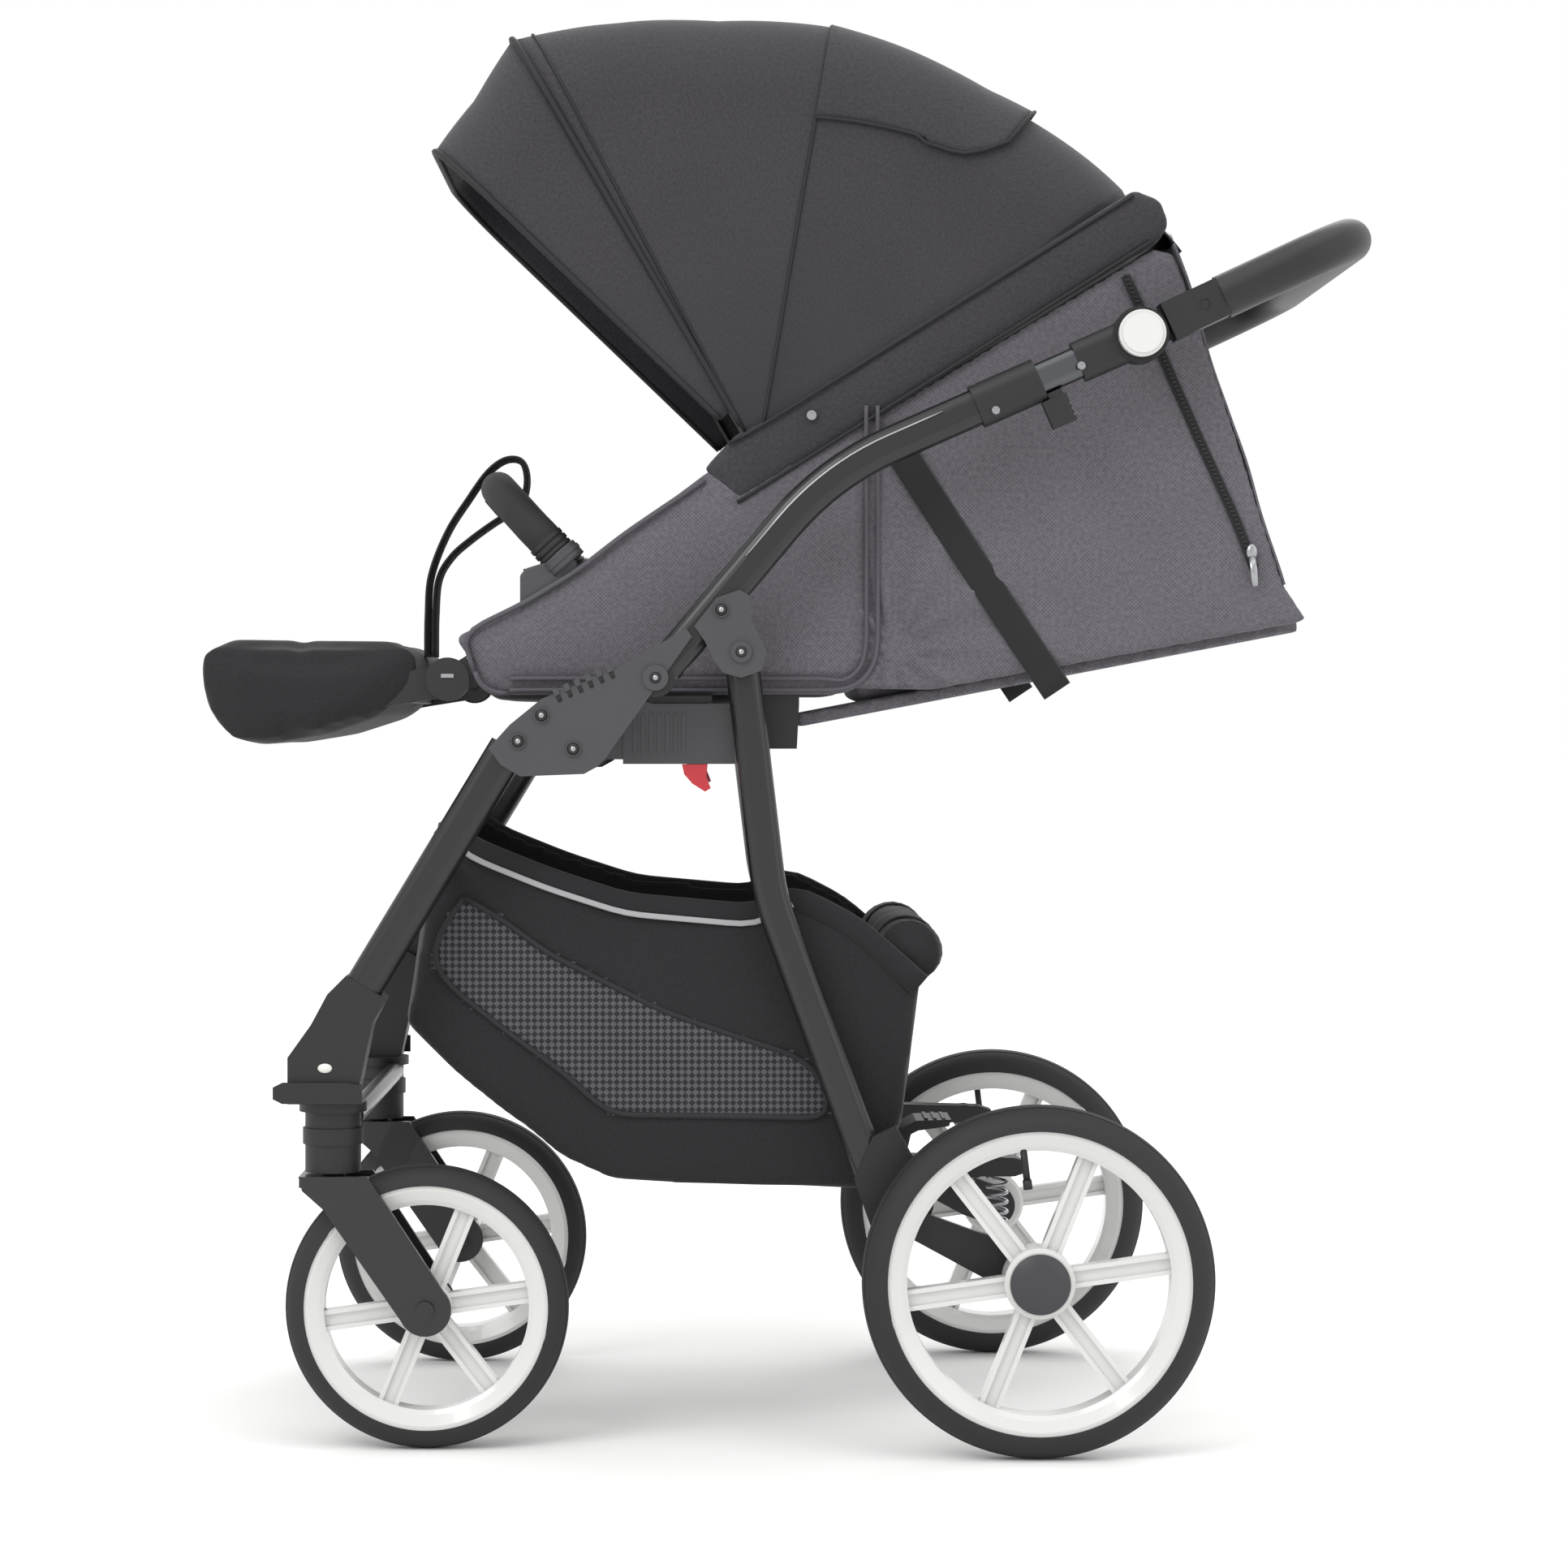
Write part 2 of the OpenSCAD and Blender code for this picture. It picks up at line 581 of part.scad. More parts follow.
// Everything bolted to the hoop: adapter tongues, pivot cheeks, bumper sockets, bow hubs.
module seat_brackets() color("#3A3A3D") {
    translate([bumper_axis[0], bumper_axis[1], 742]) cylinder(r = 5, h = 35);
    pair() difference() {
    union() {
        slab(hoop_y - 3, hoop_y + 9) polygon([[-115, 640.5], [-60, 640.5], [-56, 795], [-112, 765]]);
        translate([-115, 183, 640.5]) cube([55, 26 - 0.1, 6.5]);
        translate([-112, 203.1, 613]) cube([48, 5.8, 30]);
        rod(foot_pivot, 19, 184.6, 196.2);
        at(foot_pivot, hoop_angle) translate([10, 184.6, -7]) cube([20, 9, 16]);
        slab(178, 194) polygon([[-224, 700], [-179, 728], [-179, 757.7], [-224, 757.7]]);
        slab(176.3, 190) polygon([[-16, 601], [14, 601], [16, 640], [14, 850], [-14, 832],
            [-16, 640]]);
        rod(bow_pivot, 12, 188.3, 194);
        slab(188.3, 194) polygon([[-33, 828], [-5, 845], [-9, 860], [-31, 860]]);
        rod(foot_pivot, 5, 172, 190);
        rod(back_pivot, 5, 160, 180);
        rod(bow_pivot, 4, 175, 190);
    }
    at(hoop_start, hoop_angle) path_tube([[22, hoop_y], [hoop_len, hoop_y]], 60,
        hoop_diameter + 2 * seat_fit, hoop_diameter + 2 * seat_fit);
    }
}

module seat_base() color("#3B3940") {
    slab(-174, 174) polygon([[-276, 652], [-262, 648], [-14, 642], [-14, 668], [-262, 684],
        [-276, 678]]);
    slab(-183 + seat_fit, 183 - seat_fit) polygon([[-108, 652], [-66, 652], [-66, 664],
        [-108, 664]]);
}

module seat_side_panels() color("#757178") pair() difference() {
    slab(skin_in, skin_out) polygon([[-282, 699], [-224, 727], [-175, 758], [-137, 788],
        [-59, 837], [-42, 820], [84, 896], [84, 668], [78, 652], [70, 648], [-245, 648],
        [-260, 655], [-268, 676]]);
    rod(foot_pivot, 20, 180, 220);
}

// Grey fabric closing the reclined seat behind the hoop, both sides and the head end.
module rear_panels() color("#757178") {
    pair() slab(skin_in, skin_out - 1) polygon([[84.5, 662], [84.5, 894], [290, 1017],
        [330, 1042], [428, 744], [456, 712], [130, 652]]);
    slab(-skin_in, skin_in) polygon([[342, 1040.6], [345, 1041.2], [439, 744.5], [436, 743.8]]);
}

module backrest_board() color("#3B3940") difference() {
    at(back_pivot, back_angle) {
        translate([14, -172, 0]) cube([448, 344, 12]);
        pair() translate([0, 162, -4]) cube([30, 10, 12]);
        pair() translate([0, 176 - running, 0]) rotate([90, 0, 0]) cylinder(r = 12, h = 13.7);
    }
    rod(back_pivot, 5 + pin_fit, -200, 200);
}

module backrest_pad() color("#757178") at(back_pivot, back_angle)
    translate([0, 170, 0]) rotate([90, 0, 0]) linear_extrude(340) polygon([[62, 12.3], [455, 12.3],
        [461, 20], [461, 34], [452, 42], [74, 42], [64, 34]]);

module footrest_frame() color("#5C5C5E") difference() {
    union() {
        pair() {
            slab(174.3, 184.3) polygon([[-286, 676], [-286, 647], [-330, 640], [-400, 628],
                [-452, 622], [-456, 640], [-400, 648], [-330, 668]]);
            rod(foot_pivot, 17, 174.3, 184.3);
        }
        slab(-175, 175) polygon([[-330, 650], [-450, 640], [-450, 632], [-330, 642]]);
    }
    rod(foot_pivot, 5 + pin_fit, -200, 200);
}

module footrest_pad() color("#333136") difference() {
    slab(-174, 174) polygon([[-304, 692], [-330, 696], [-500, 696], [-511, 690], [-514, 676],
        [-507, 638], [-494, 616], [-482, 610], [-398, 621], [-341, 639], [-322, 650], [-312, 668]]);
    slab(-180, 180) polygon([[-329, 650.3], [-451, 640.3], [-451, 631.7], [-329, 641.7]]);
}

// Padded bar with the two knuckles that stand on the seat sockets.
module bumper_bar() color("#4A4A4D") difference() {
    union() {
        at(bumper_top, 132) mitred_tube([[0, -177], [0, -163], [9, -140], [35, -98], [44, -75],
            [44, 75], [35, 98], [9, 140], [0, 163], [0, 177]], bumper_diameter, bumper_diameter);
        pair() slab(176, 194) polygon([[-222, 758], [-181, 758], [-181, 792], [-190, 812],
            [-215, 820], [-238, 812], [-247, 796], [-244, 778], [-232, 768]]);
    }
    translate([bumper_axis[0], bumper_axis[1], 750]) cylinder(r = 5 + pin_fit, h = 28);
}

// ---- canopy ----

module bow(b, y, start) {
    reach = b[1] - fabric - bow_r - 0.8;
    at(bow_pivot, b[0]) path_tube([[start, -y], [reach, -y], [reach, y], [start, y]],
        canopy_shoulder - 4, bow_diameter, bow_diameter);
}

// Bow with a ring at each foot, ring_y0 to ring_y0 + 4.9 across.
module hinged_bow(b, ring_y0) difference() {
    union() {
        bow(b, ring_y0 + 2.45, 6);
        pair() rod(bow_pivot, 11, ring_y0, ring_y0 + 4.9);
    }
    rod(bow_pivot, 4 + pin_fit, -200, 200);
}

module canopy_front_bow() color("#2E2C31") hinged_bow(front_bow, 183);
module canopy_mid_bow() color("#2E2C31") hinged_bow(mid_bow, 177);
module canopy_rear_bow() color("#2E2C31") bow(rear_bow, 191.2, 12.3);

// Fabric skin between two bow angles, from the band to the crown, as one thin shell.
module hood(stops, thick, least) {
    arc = 6;
    function row(st, off) = let (r = st[1] - off, y = canopy_y - off, q = canopy_shoulder - off,
        r0 = max(least, min(300, 15 / sin(st[0] - 32))), c = [cos(st[0]), sin(st[0])],
        half = concat([[r0, y], [(r0 + r - q) / 2, y]],
            [for (k = [0 : arc]) [r - q + q * sin(90 * k / arc), y - q + q * cos(90 * k / arc)]]),
        full = concat([for (k = half) [k[0], -k[1]]],
            [for (k = [len(half) - 1 : -1 : 0]) half[k]]))
        [for (k = full) [bow_pivot[0] + k[0] * c[0], k[1], bow_pivot[1] + k[0] * c[1]]];
    m = 2 * (arc + 3);
    n = len(stops);
    pts = concat([for (s = stops) each row(s, 0)], [for (s = stops) each row(s, thick)]);
    function id(layer, i, j) = layer * m * n + i * m + j;
    polyhedron(pts, concat(
        [for (i = [0 : n - 2]) for (j = [0 : m - 2]) each [
            [id(0, i, j), id(0, i, j + 1), id(0, i + 1, j + 1)],
            [id(0, i, j), id(0, i + 1, j + 1), id(0, i + 1, j)],
            [id(1, i, j), id(1, i + 1, j + 1), id(1, i, j + 1)],
            [id(1, i, j), id(1, i + 1, j), id(1, i + 1, j + 1)]]],
        [for (i = [0 : n - 2]) for (j = [0, m - 1]) each j == 0 ? [
            [id(0, i, 0), id(0, i + 1, 0), id(1, i + 1, 0)],
            [id(0, i, 0), id(1, i + 1, 0), id(1, i, 0)]] : [
            [id(0, i, j), id(1, i + 1, j), id(0, i + 1, j)],
            [id(0, i, j), id(1, i, j), id(1, i + 1, j)]]],
        [for (j = [0 : m - 2]) each [
            [id(0, 0, j), id(1, 0, j), id(1, 0, j + 1)],
            [id(0, 0, j), id(1, 0, j + 1), id(0, 0, j + 1)],
            [id(0, n - 1, j), id(0, n - 1, j + 1), id(1, n - 1, j + 1)],
            [id(0, n - 1, j), id(1, n - 1, j + 1), id(1, n - 1, j)]]]));
}

module canopy_fabric() color("#48464B")
    hood([[36, 405], [50, 392], [65, 388], mid_bow, [95, 397], [108, 412],
        front_bow - [0.1, 0]], fabric, 18);

module canopy_visor() color("#48464B")
    hood([front_bow + [0.1, 0], [128, 420], visor_edge], fabric, 45);

module canopy_band() color("#48464B") pair()
    slab(skin_in, skin_out) polygon([[-58, 838.5], [-41, 820.8], [292, 1022], [328, 1044],
        [334, 1056], [326, 1072], [308, 1077], [0, 886], [-34, 866]]);

front_legs();
leg_knuckles();
swivel_housings();
front_crossbar();
hinge_plates();
hinge_pins();
seat_adapters();
basket();
upper_tubes();
leg_brackets();
bracket_pins();
collars();
inner_tubes();
handle_sockets();
fold_trigger(-1);  // fold_trigger_left
fold_trigger(1);  // fold_trigger_right
rear_legs();
rear_housings();
rear_crossbar();
brake_pedal();
suspension_arm(-1);  // suspension_arm_left
suspension_arm(1);  // suspension_arm_right
spring(-1);  // spring_left
spring(1);  // spring_right
rear_tyre(-1);  // rear_tyre_left
rear_rim(-1);  // rear_rim_left
rear_cap(-1);  // rear_cap_left
rear_tyre(1);  // rear_tyre_right
rear_rim(1);  // rear_rim_right
rear_cap(1);  // rear_cap_right
fork(-1);  // fork_left
fork(1);  // fork_right
front_tyre(-1);  // front_tyre_left
front_rim(-1);  // front_rim_left
front_tyre(1);  // front_tyre_right
front_rim(1);  // front_rim_right
swivel_lock(-1);  // swivel_lock_left
swivel_lock(1);  // swivel_lock_right
handle_arms();
handle_grip();
handle_button(-1);  // handle_button_left
handle_button(1);  // handle_button_right
seat_release(-1);  // seat_release_left
seat_release(1);  // seat_release_right
seat_hoop();
seat_brackets();
seat_base();
seat_side_panels();
rear_panels();
backrest_board();
backrest_pad();
footrest_frame();
footrest_pad();
bumper_bar();
canopy_front_bow();
canopy_mid_bow();
canopy_rear_bow();
canopy_fabric();
canopy_visor();
canopy_band();
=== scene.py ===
import math

import bmesh
import bpy
from mathutils import Matrix, Vector, noise


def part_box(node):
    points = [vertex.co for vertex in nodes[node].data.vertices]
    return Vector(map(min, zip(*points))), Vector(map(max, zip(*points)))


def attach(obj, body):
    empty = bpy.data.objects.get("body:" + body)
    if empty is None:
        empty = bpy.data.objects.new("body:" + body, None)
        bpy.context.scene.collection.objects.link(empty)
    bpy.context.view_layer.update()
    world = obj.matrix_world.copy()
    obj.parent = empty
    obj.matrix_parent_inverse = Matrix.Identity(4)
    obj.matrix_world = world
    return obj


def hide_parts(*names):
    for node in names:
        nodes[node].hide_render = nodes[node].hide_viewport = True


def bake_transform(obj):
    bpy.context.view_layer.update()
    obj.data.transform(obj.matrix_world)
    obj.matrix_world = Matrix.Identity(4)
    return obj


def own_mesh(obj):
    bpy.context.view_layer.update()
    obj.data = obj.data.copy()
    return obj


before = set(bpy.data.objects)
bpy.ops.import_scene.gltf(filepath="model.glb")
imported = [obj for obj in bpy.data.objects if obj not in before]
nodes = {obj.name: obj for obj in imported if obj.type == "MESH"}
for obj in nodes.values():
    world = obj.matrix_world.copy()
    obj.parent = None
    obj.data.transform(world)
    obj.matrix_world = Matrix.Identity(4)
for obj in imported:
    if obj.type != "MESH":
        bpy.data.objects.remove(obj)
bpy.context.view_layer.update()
MM = 0.001

# ---- Studio -----------------------------------------------------------------
# A pale seamless floor, one large soft key light from the upper left, a weaker
# fill from the right and a bright, even surround.


def linear(hex_code, alpha=1.0):
    """sRGB hex colour to linear RGBA."""
    channels = [int(hex_code[i : i + 2], 16) / 255 for i in (1, 3, 5)]
    curve = [c / 12.92 if c <= 0.04045 else ((c + 0.055) / 1.055) ** 2.4 for c in channels]
    return (*curve, alpha)


def finish_of(name):
    """A new material, its node tree and its shader."""
    made = bpy.data.materials.new(name)
    made.use_nodes = True
    return made, made.node_tree, made.node_tree.nodes["Principled BSDF"]


def studio():
    paper, _, shader = finish_of("matt_white_paper")
    shader.inputs["Base Color"].default_value = linear("#EFEFEE")
    shader.inputs["Roughness"].default_value = 0.9
    ground = bmesh.new()
    bmesh.ops.create_grid(ground, x_segments=1, y_segments=1, size=60)
    mesh = bpy.data.meshes.new("studio_floor")
    ground.to_mesh(mesh)
    ground.free()
    floor = bpy.data.objects.new("studio_floor", mesh)
    floor.data.materials.append(paper)
    bpy.context.collection.objects.link(floor)

    surround = bpy.data.worlds.new("soft_surround")
    surround.use_nodes = True
    surround.node_tree.nodes["Background"].inputs["Color"].default_value = linear("#FFFFFF")
    surround.node_tree.nodes["Background"].inputs["Strength"].default_value = 1.0
    bpy.context.scene.world = surround

    for name, place, size, power in [
        ("key_light", (-2.0, -2.8, 3.2), 2.0, 62),
        ("fill_light", (3.0, -2.4, 1.8), 2.4, 14),
        ("back_light", (0.6, 3.2, 3.2), 2.4, 45),
        ("overhead_light", (0.5, -0.8, 5.0), 0.9, 0.8),
    ]:
        lamp = bpy.data.lights.new(name, "SUN" if name == "overhead_light" else "AREA")
        if lamp.type == "SUN":
            lamp.angle = size
        else:
            lamp.size = size
        lamp.energy = power
        holder = bpy.data.objects.new(name, lamp)
        holder.location = place
        holder.rotation_euler = (Vector((0, 0, 0.6)) - Vector(place)).to_track_quat("-Z", "Y").to_euler()
        bpy.context.collection.objects.link(holder)

    lens = bpy.data.cameras.new("side_camera")
    lens.lens = 89.4
    lens.sensor_width = 36
    lens.shift_x = 0.0445
    lens.shift_y = -0.0393
    camera = bpy.data.objects.new("side_camera", lens)
    camera.location = (-0.058, -3.582, 0.624)
    camera.rotation_euler = (math.radians(90), 0, 0)
    bpy.context.collection.objects.link(camera)
    bpy.context.scene.camera = camera
    bpy.context.scene.view_settings.view_transform = "Standard"


studio()

# ---- Finishes of the hard parts ---------------------------------------------
# Powder-coated aluminium tube, moulded nylon and ABS, EVA foam tyres, zinc
# rivets and one anodised tube. All patterns are on object coordinates.


def add(tree, kind, settings=None, links=None):
    """One shader node with its settings, and links given as {input: output socket}."""
    node = tree.nodes.new(kind)
    for key, value in (settings or {}).items():
        if isinstance(key, str) and hasattr(node, key):
            setattr(node, key, value)
        else:
            node.inputs[key].default_value = value
    for key, socket in (links or {}).items():
        tree.links.new(socket, node.inputs[key])
    return node


def grained(name, colour, roughness, grain_mm, depth_mm, **sockets):
    """A moulded or coated surface with a fine, even grain."""
    made, tree, shader = finish_of(name)
    shader.inputs["Base Color"].default_value = linear(colour)
    shader.inputs["Roughness"].default_value = roughness
    for key, value in sockets.items():
        shader.inputs[key.replace("_", " ")].default_value = value
    place = add(tree, "ShaderNodeTexCoord")
    grain = add(
        tree,
        "ShaderNodeTexNoise",
        {"Scale": 1 / (grain_mm * MM), "Detail": 2.0},
        {"Vector": place.outputs["Object"]},
    )
    relief = add(
        tree,
        "ShaderNodeBump",
        {"Strength": 0.35, "Distance": depth_mm * MM},
        {"Height": grain.outputs["Fac"]},
    )
    tree.links.new(relief.outputs["Normal"], shader.inputs["Normal"])
    return made


# Satin powder coat: a low sheen with a faint orange peel.
powder_coat = grained("satin_black_powder_coat", "#111113", 0.33, 1.6, 0.10, Coat_Weight=0.15)
# Glass-filled nylon, spark-eroded mould: dull, finely grained.
black_nylon = grained("black_moulded_nylon", "#141416", 0.52, 0.7, 0.10)
grey_nylon = grained("grey_moulded_nylon", "#3C3C3F", 0.48, 0.7, 0.10)
cap_nylon = grained("dark_grey_cap_nylon", "#333337", 0.42, 0.8, 0.06)
# Polished ABS: smooth and glossy.
white_abs = grained("white_gloss_abs", "#CDCDCB", 0.22, 6.0, 0.04, Coat_Weight=0.3)
red_abs = grained("red_gloss_abs", "#B81F2B", 0.30, 6.0, 0.04, Coat_Weight=0.3)
# Foamed EVA with a skin: matt, slightly pitted.
eva_tyre = grained("skinned_eva_foam", "#1F1F21", 0.72, 1.1, 0.25)
# Bright zinc plate: a cold, slightly clouded metal.
zinc = grained("zinc_plated_steel", "#A2A3A6", 0.32, 1.5, 0.05, Metallic=1.0)
# Dark anodised tube: a satin metal with no coat over it.
anodised = grained("anodised_aluminium", "#5B5C5F", 0.28, 2.5, 0.03, Metallic=1.0)


def dress(material, *names):
    for name in names:
        node = nodes[name]
        node.data.materials.clear()
        node.data.materials.append(material)


pairs = ("left", "right")
dress(powder_coat, "front_legs", "upper_tubes", "rear_legs", "front_crossbar", "rear_crossbar",
      "seat_hoop", "canopy_front_bow", "canopy_mid_bow", "canopy_rear_bow",
      *[f"fork_{s}" for s in pairs])
dress(black_nylon, "leg_knuckles", "swivel_housings", "collars", "handle_sockets", "rear_housings",
      "handle_arms", "brake_pedal", "seat_brackets", "footrest_frame",
      *[f"{n}_{s}" for n in ("suspension_arm", "swivel_lock", "fold_trigger") for s in pairs])
dress(grey_nylon, "hinge_plates", "seat_adapters", "leg_brackets", "hinge_pins", "bracket_pins")
dress(zinc, *[f"spring_{s}" for s in pairs])
dress(anodised, "inner_tubes")
dress(eva_tyre, *[f"{n}_tyre_{s}" for n in ("rear", "front") for s in pairs])
dress(white_abs, *[f"{n}_rim_{s}" for n in ("rear", "front") for s in pairs],
      *[f"handle_button_{s}" for s in pairs])
dress(cap_nylon, *[f"rear_cap_{s}" for s in pairs])
dress(red_abs, *[f"seat_release_{s}" for s in pairs])

# ---- Fabrics ----------------------------------------------------------------
# Polyester canvas in charcoal, grey melange and near black. The weave is drawn
# at about twice its real thread spacing, so that it shows from a few metres.


def woven(name, warp, weft, thread_mm, relief_mm, blotch=0.25, sheen=0.08):
    """Plain weave of two yarn colours on the piece's UV map, which is in metres."""
    made, tree, shader = finish_of(name)
    shader.inputs["Roughness"].default_value = 0.88
    shader.inputs["Sheen Weight"].default_value = sheen
    shader.inputs["Sheen Roughness"].default_value = 0.5
    place = add(tree, "ShaderNodeTexCoord")
    pitch = 1 / (thread_mm * MM)
    split = add(tree, "ShaderNodeSeparateXYZ", None, {"Vector": place.outputs["UV"]})

    def wave(axis, phase):
        angle = add(
            tree,
            "ShaderNodeMath",
            {"operation": "MULTIPLY_ADD", 1: math.pi * pitch, 2: phase},
            {0: split.outputs[axis]},
        )
        return add(tree, "ShaderNodeMath", {"operation": "SINE"}, {0: angle.outputs[0]}).outputs[0]

    over = add(
        tree,
        "ShaderNodeMath",
        {"operation": "MULTIPLY"},
        {0: wave("X", 0.0), 1: wave("Y", 0.0)},
    ).outputs[0]
    hairs = add(
        tree,
        "ShaderNodeTexNoise",
        {"Scale": 0.45 * pitch, "Detail": 3.0, "Roughness": 0.7},
        {"Vector": place.outputs["UV"]},
    ).outputs["Fac"]
    cloud = add(
        tree,
        "ShaderNodeTexNoise",
        {"Scale": 14.0, "Detail": 4.0},
        {"Vector": place.outputs["Object"]},
    ).outputs["Fac"]
    mixed = add(tree, "ShaderNodeMath", {"operation": "MULTIPLY_ADD", 1: 0.32, 2: 0.5}, {0: over})
    melange = add(
        tree,
        "ShaderNodeMath",
        {"operation": "MULTIPLY_ADD", 1: 1.7, 2: -0.85},
        {0: hairs},
    )
    summed = add(
        tree,
        "ShaderNodeMath",
        {"operation": "ADD", "use_clamp": True},
        {0: mixed.outputs[0], 1: melange.outputs[0]},
    )
    yarns = add(
        tree,
        "ShaderNodeMix",
        {"data_type": "RGBA", 6: linear(warp), 7: linear(weft)},
        {0: summed.outputs[0]},
    )
    fade = add(
        tree,
        "ShaderNodeMath",
        {"operation": "MULTIPLY_ADD", 1: blotch, 2: 1 - blotch / 2},
        {0: cloud},
    )
    worn = add(
        tree,
        "ShaderNodeVectorMath",
        {"operation": "SCALE"},
        {0: yarns.outputs[2], "Scale": fade.outputs[0]},
    )
    tree.links.new(worn.outputs[0], shader.inputs["Base Color"])
    relief = add(
        tree,
        "ShaderNodeBump",
        {"Strength": 0.6, "Distance": relief_mm * MM},
        {"Height": summed.outputs[0]},
    )
    tree.links.new(relief.outputs["Normal"], shader.inputs["Normal"])
    return made


charcoal_canvas = woven("charcoal_melange_canvas", "#201E23", "#3A383D", 1.5, 0.35)
grey_canvas = woven("grey_melange_canvas", "#454249", "#68646B", 1.7, 0.4)
black_canvas = woven("near_black_canvas", "#0C0B0E", "#1C1B1F", 1.5, 0.35)
webbing = woven("woven_black_webbing", "#0F0F11", "#1E1E21", 2.2, 0.6, 0.1)
piping_cord = grained("dark_piping_tape", "#151418", 0.7, 0.9, 0.1)
grey_cord = grained("grey_piping_cord", "#4C4950", 0.75, 0.9, 0.15)
reflective_tape = grained("reflective_grey_tape", "#9A9A9C", 0.35, 0.8, 0.05)


def thing(name, bm, material, body=None, smooth=True):
    """Turns a finished bmesh into a piece, with its outside recalculated and smooth shading."""
    bmesh.ops.remove_doubles(bm, verts=bm.verts, dist=1e-6)
    bmesh.ops.recalc_face_normals(bm, faces=bm.faces)
    mesh = bpy.data.meshes.new(name)
    bm.to_mesh(mesh)
    bm.free()
    for face in mesh.polygons:
        face.use_smooth = smooth
    made = bpy.data.objects.new(name, mesh)
    mesh.materials.append(material)
    bpy.context.collection.objects.link(made)
    if body:
        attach(made, body)
    return made


def cut_cloth(bm):
    """Lays each face flat on the plane it faces most, as UVs in metres."""
    layer = bm.loops.layers.uv.verify()
    bm.normal_update()
    for face in bm.faces:
        n = [abs(c) for c in face.normal]
        across, up = {0: (1, 2), 1: (0, 2), 2: (0, 1)}[n.index(max(n))]
        for loop in face.loops:
            loop[layer].uv = (loop.vert.co[across], loop.vert.co[up])


def tube(bm, line, radius, sides=8, flat=1.0, thin=None, broad=None):
    """A cord or tape swept along points. A tape is thin along thin, or wide along broad."""
    line = [Vector(p) for p in line]
    last = None
    for i, p in enumerate(line):
        along = (line[min(i + 1, len(line) - 1)] - line[max(i - 1, 0)]).normalized()
        if broad:
            side = Vector(broad) - along * along.dot(Vector(broad))
        else:
            side = Vector(thin or (0.13, 0.31, 1)).cross(along)
        side.normalize()
        rise = along.cross(side)
        ring = [
            bm.verts.new(p + radius * math.cos(a) * side + radius * flat * math.sin(a) * rise)
            for a in [2 * math.pi * k / sides for k in range(sides)]
        ]
        if last:
            for k in range(sides):
                bm.faces.new((last[k], last[(k + 1) % sides], ring[(k + 1) % sides], ring[k]))
        else:
            bm.faces.new(list(reversed(ring)))
        last = ring
    bm.faces.new(last)

# ---- Wheels' small parts ----------------------------------------------------
# Each foam tyre is bonded to its rim, with a black rubber valve stem left on the
# rear rims, and raised beads run round the tyre walls.

rubber = grained("black_valve_rubber", "#171718", 0.55, 1.2, 0.08)


def ring_of(bm, centre, radius, thick, spins=96):
    """A round ring about an axle that runs across the pushchair."""
    disc = bmesh.ops.create_circle(bm, segments=10, radius=thick)["verts"]
    bmesh.ops.rotate(bm, verts=disc, cent=(0, 0, 0), matrix=Matrix.Rotation(math.pi / 2, 3, "X"))
    bmesh.ops.rotate(bm, verts=disc, cent=(0, 0, 0), matrix=Matrix.Rotation(math.pi / 2, 3, "Y"))
    bmesh.ops.translate(bm, verts=disc, vec=Vector(centre) + Vector((0, 0, radius)))
    edges = list({e for v in disc for e in v.link_edges})
    bmesh.ops.spin(bm, geom=edges, cent=centre, axis=(0, 1, 0), angle=2 * math.pi, steps=spins,
                   use_merge=True)


for side, s in (("left", -1), ("right", 1)):
    axle = Vector((0.217, s * 0.280, 0.150))
    bm = bmesh.new()
    lean = Vector((math.cos(math.radians(97)), 0, math.sin(math.radians(97))))
    foot = axle + 0.114 * lean + Vector((0, s * 0.012, 0))
    tube(bm, [foot, foot - 0.012 * lean, foot - 0.026 * lean], 3.1 * MM, 14)
    tube(bm, [foot - 0.026 * lean, foot - 0.034 * lean], 4.0 * MM, 14)
    thing(f"valve_stem_{side}", bm, rubber, f"rear_wheel_{side}")
    for wheel, body, centre, reach, half in (
        ("rear", "rear_wheel", axle, 137, 17.5),
        ("front", "front_wheel", Vector((-0.305, s * 0.230, 0.122)), 111, 15),
    ):
        bm = bmesh.new()
        for k in (-1, 1):
            ring_of(bm, centre + Vector((0, k * half * MM, 0)), reach * MM, 1.3 * MM)
        thing(f"{wheel}_tyre_beads_{side}", bm, eva_tyre, f"{body}_{side}")

# ---- Suspension springs -----------------------------------------------------
# A zinc-plated coil of 3 mm wire stands under each rear housing.

for side, s in (("left", -1), ("right", 1)):
    low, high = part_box(f"spring_{side}")
    middle = (low + high) / 2
    turns = 6.5
    coil = []
    for i in range(int(turns * 18) + 1):
        share = i / (turns * 18)
        angle = 2 * math.pi * turns * share
        rise = low.z + 2 * MM + (high.z - low.z - 4 * MM) * share
        coil.append((middle.x + 8.4 * MM * math.cos(angle), middle.y + 8.4 * MM * math.sin(angle), rise))
    bm = bmesh.new()
    tube(bm, coil, 1.5 * MM, 8)
    spring = thing(f"coil_spring_{side}", bm, zinc, "rear_frame")
    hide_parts(f"spring_{side}")
    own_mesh(spring)

# ---- Screws, rivets and trims of the frame ----------------------------------
# Countersunk zinc screws hold the collars, rivets with nylon rings cover the pins,
# and a milky indicator sits in each leg knuckle.


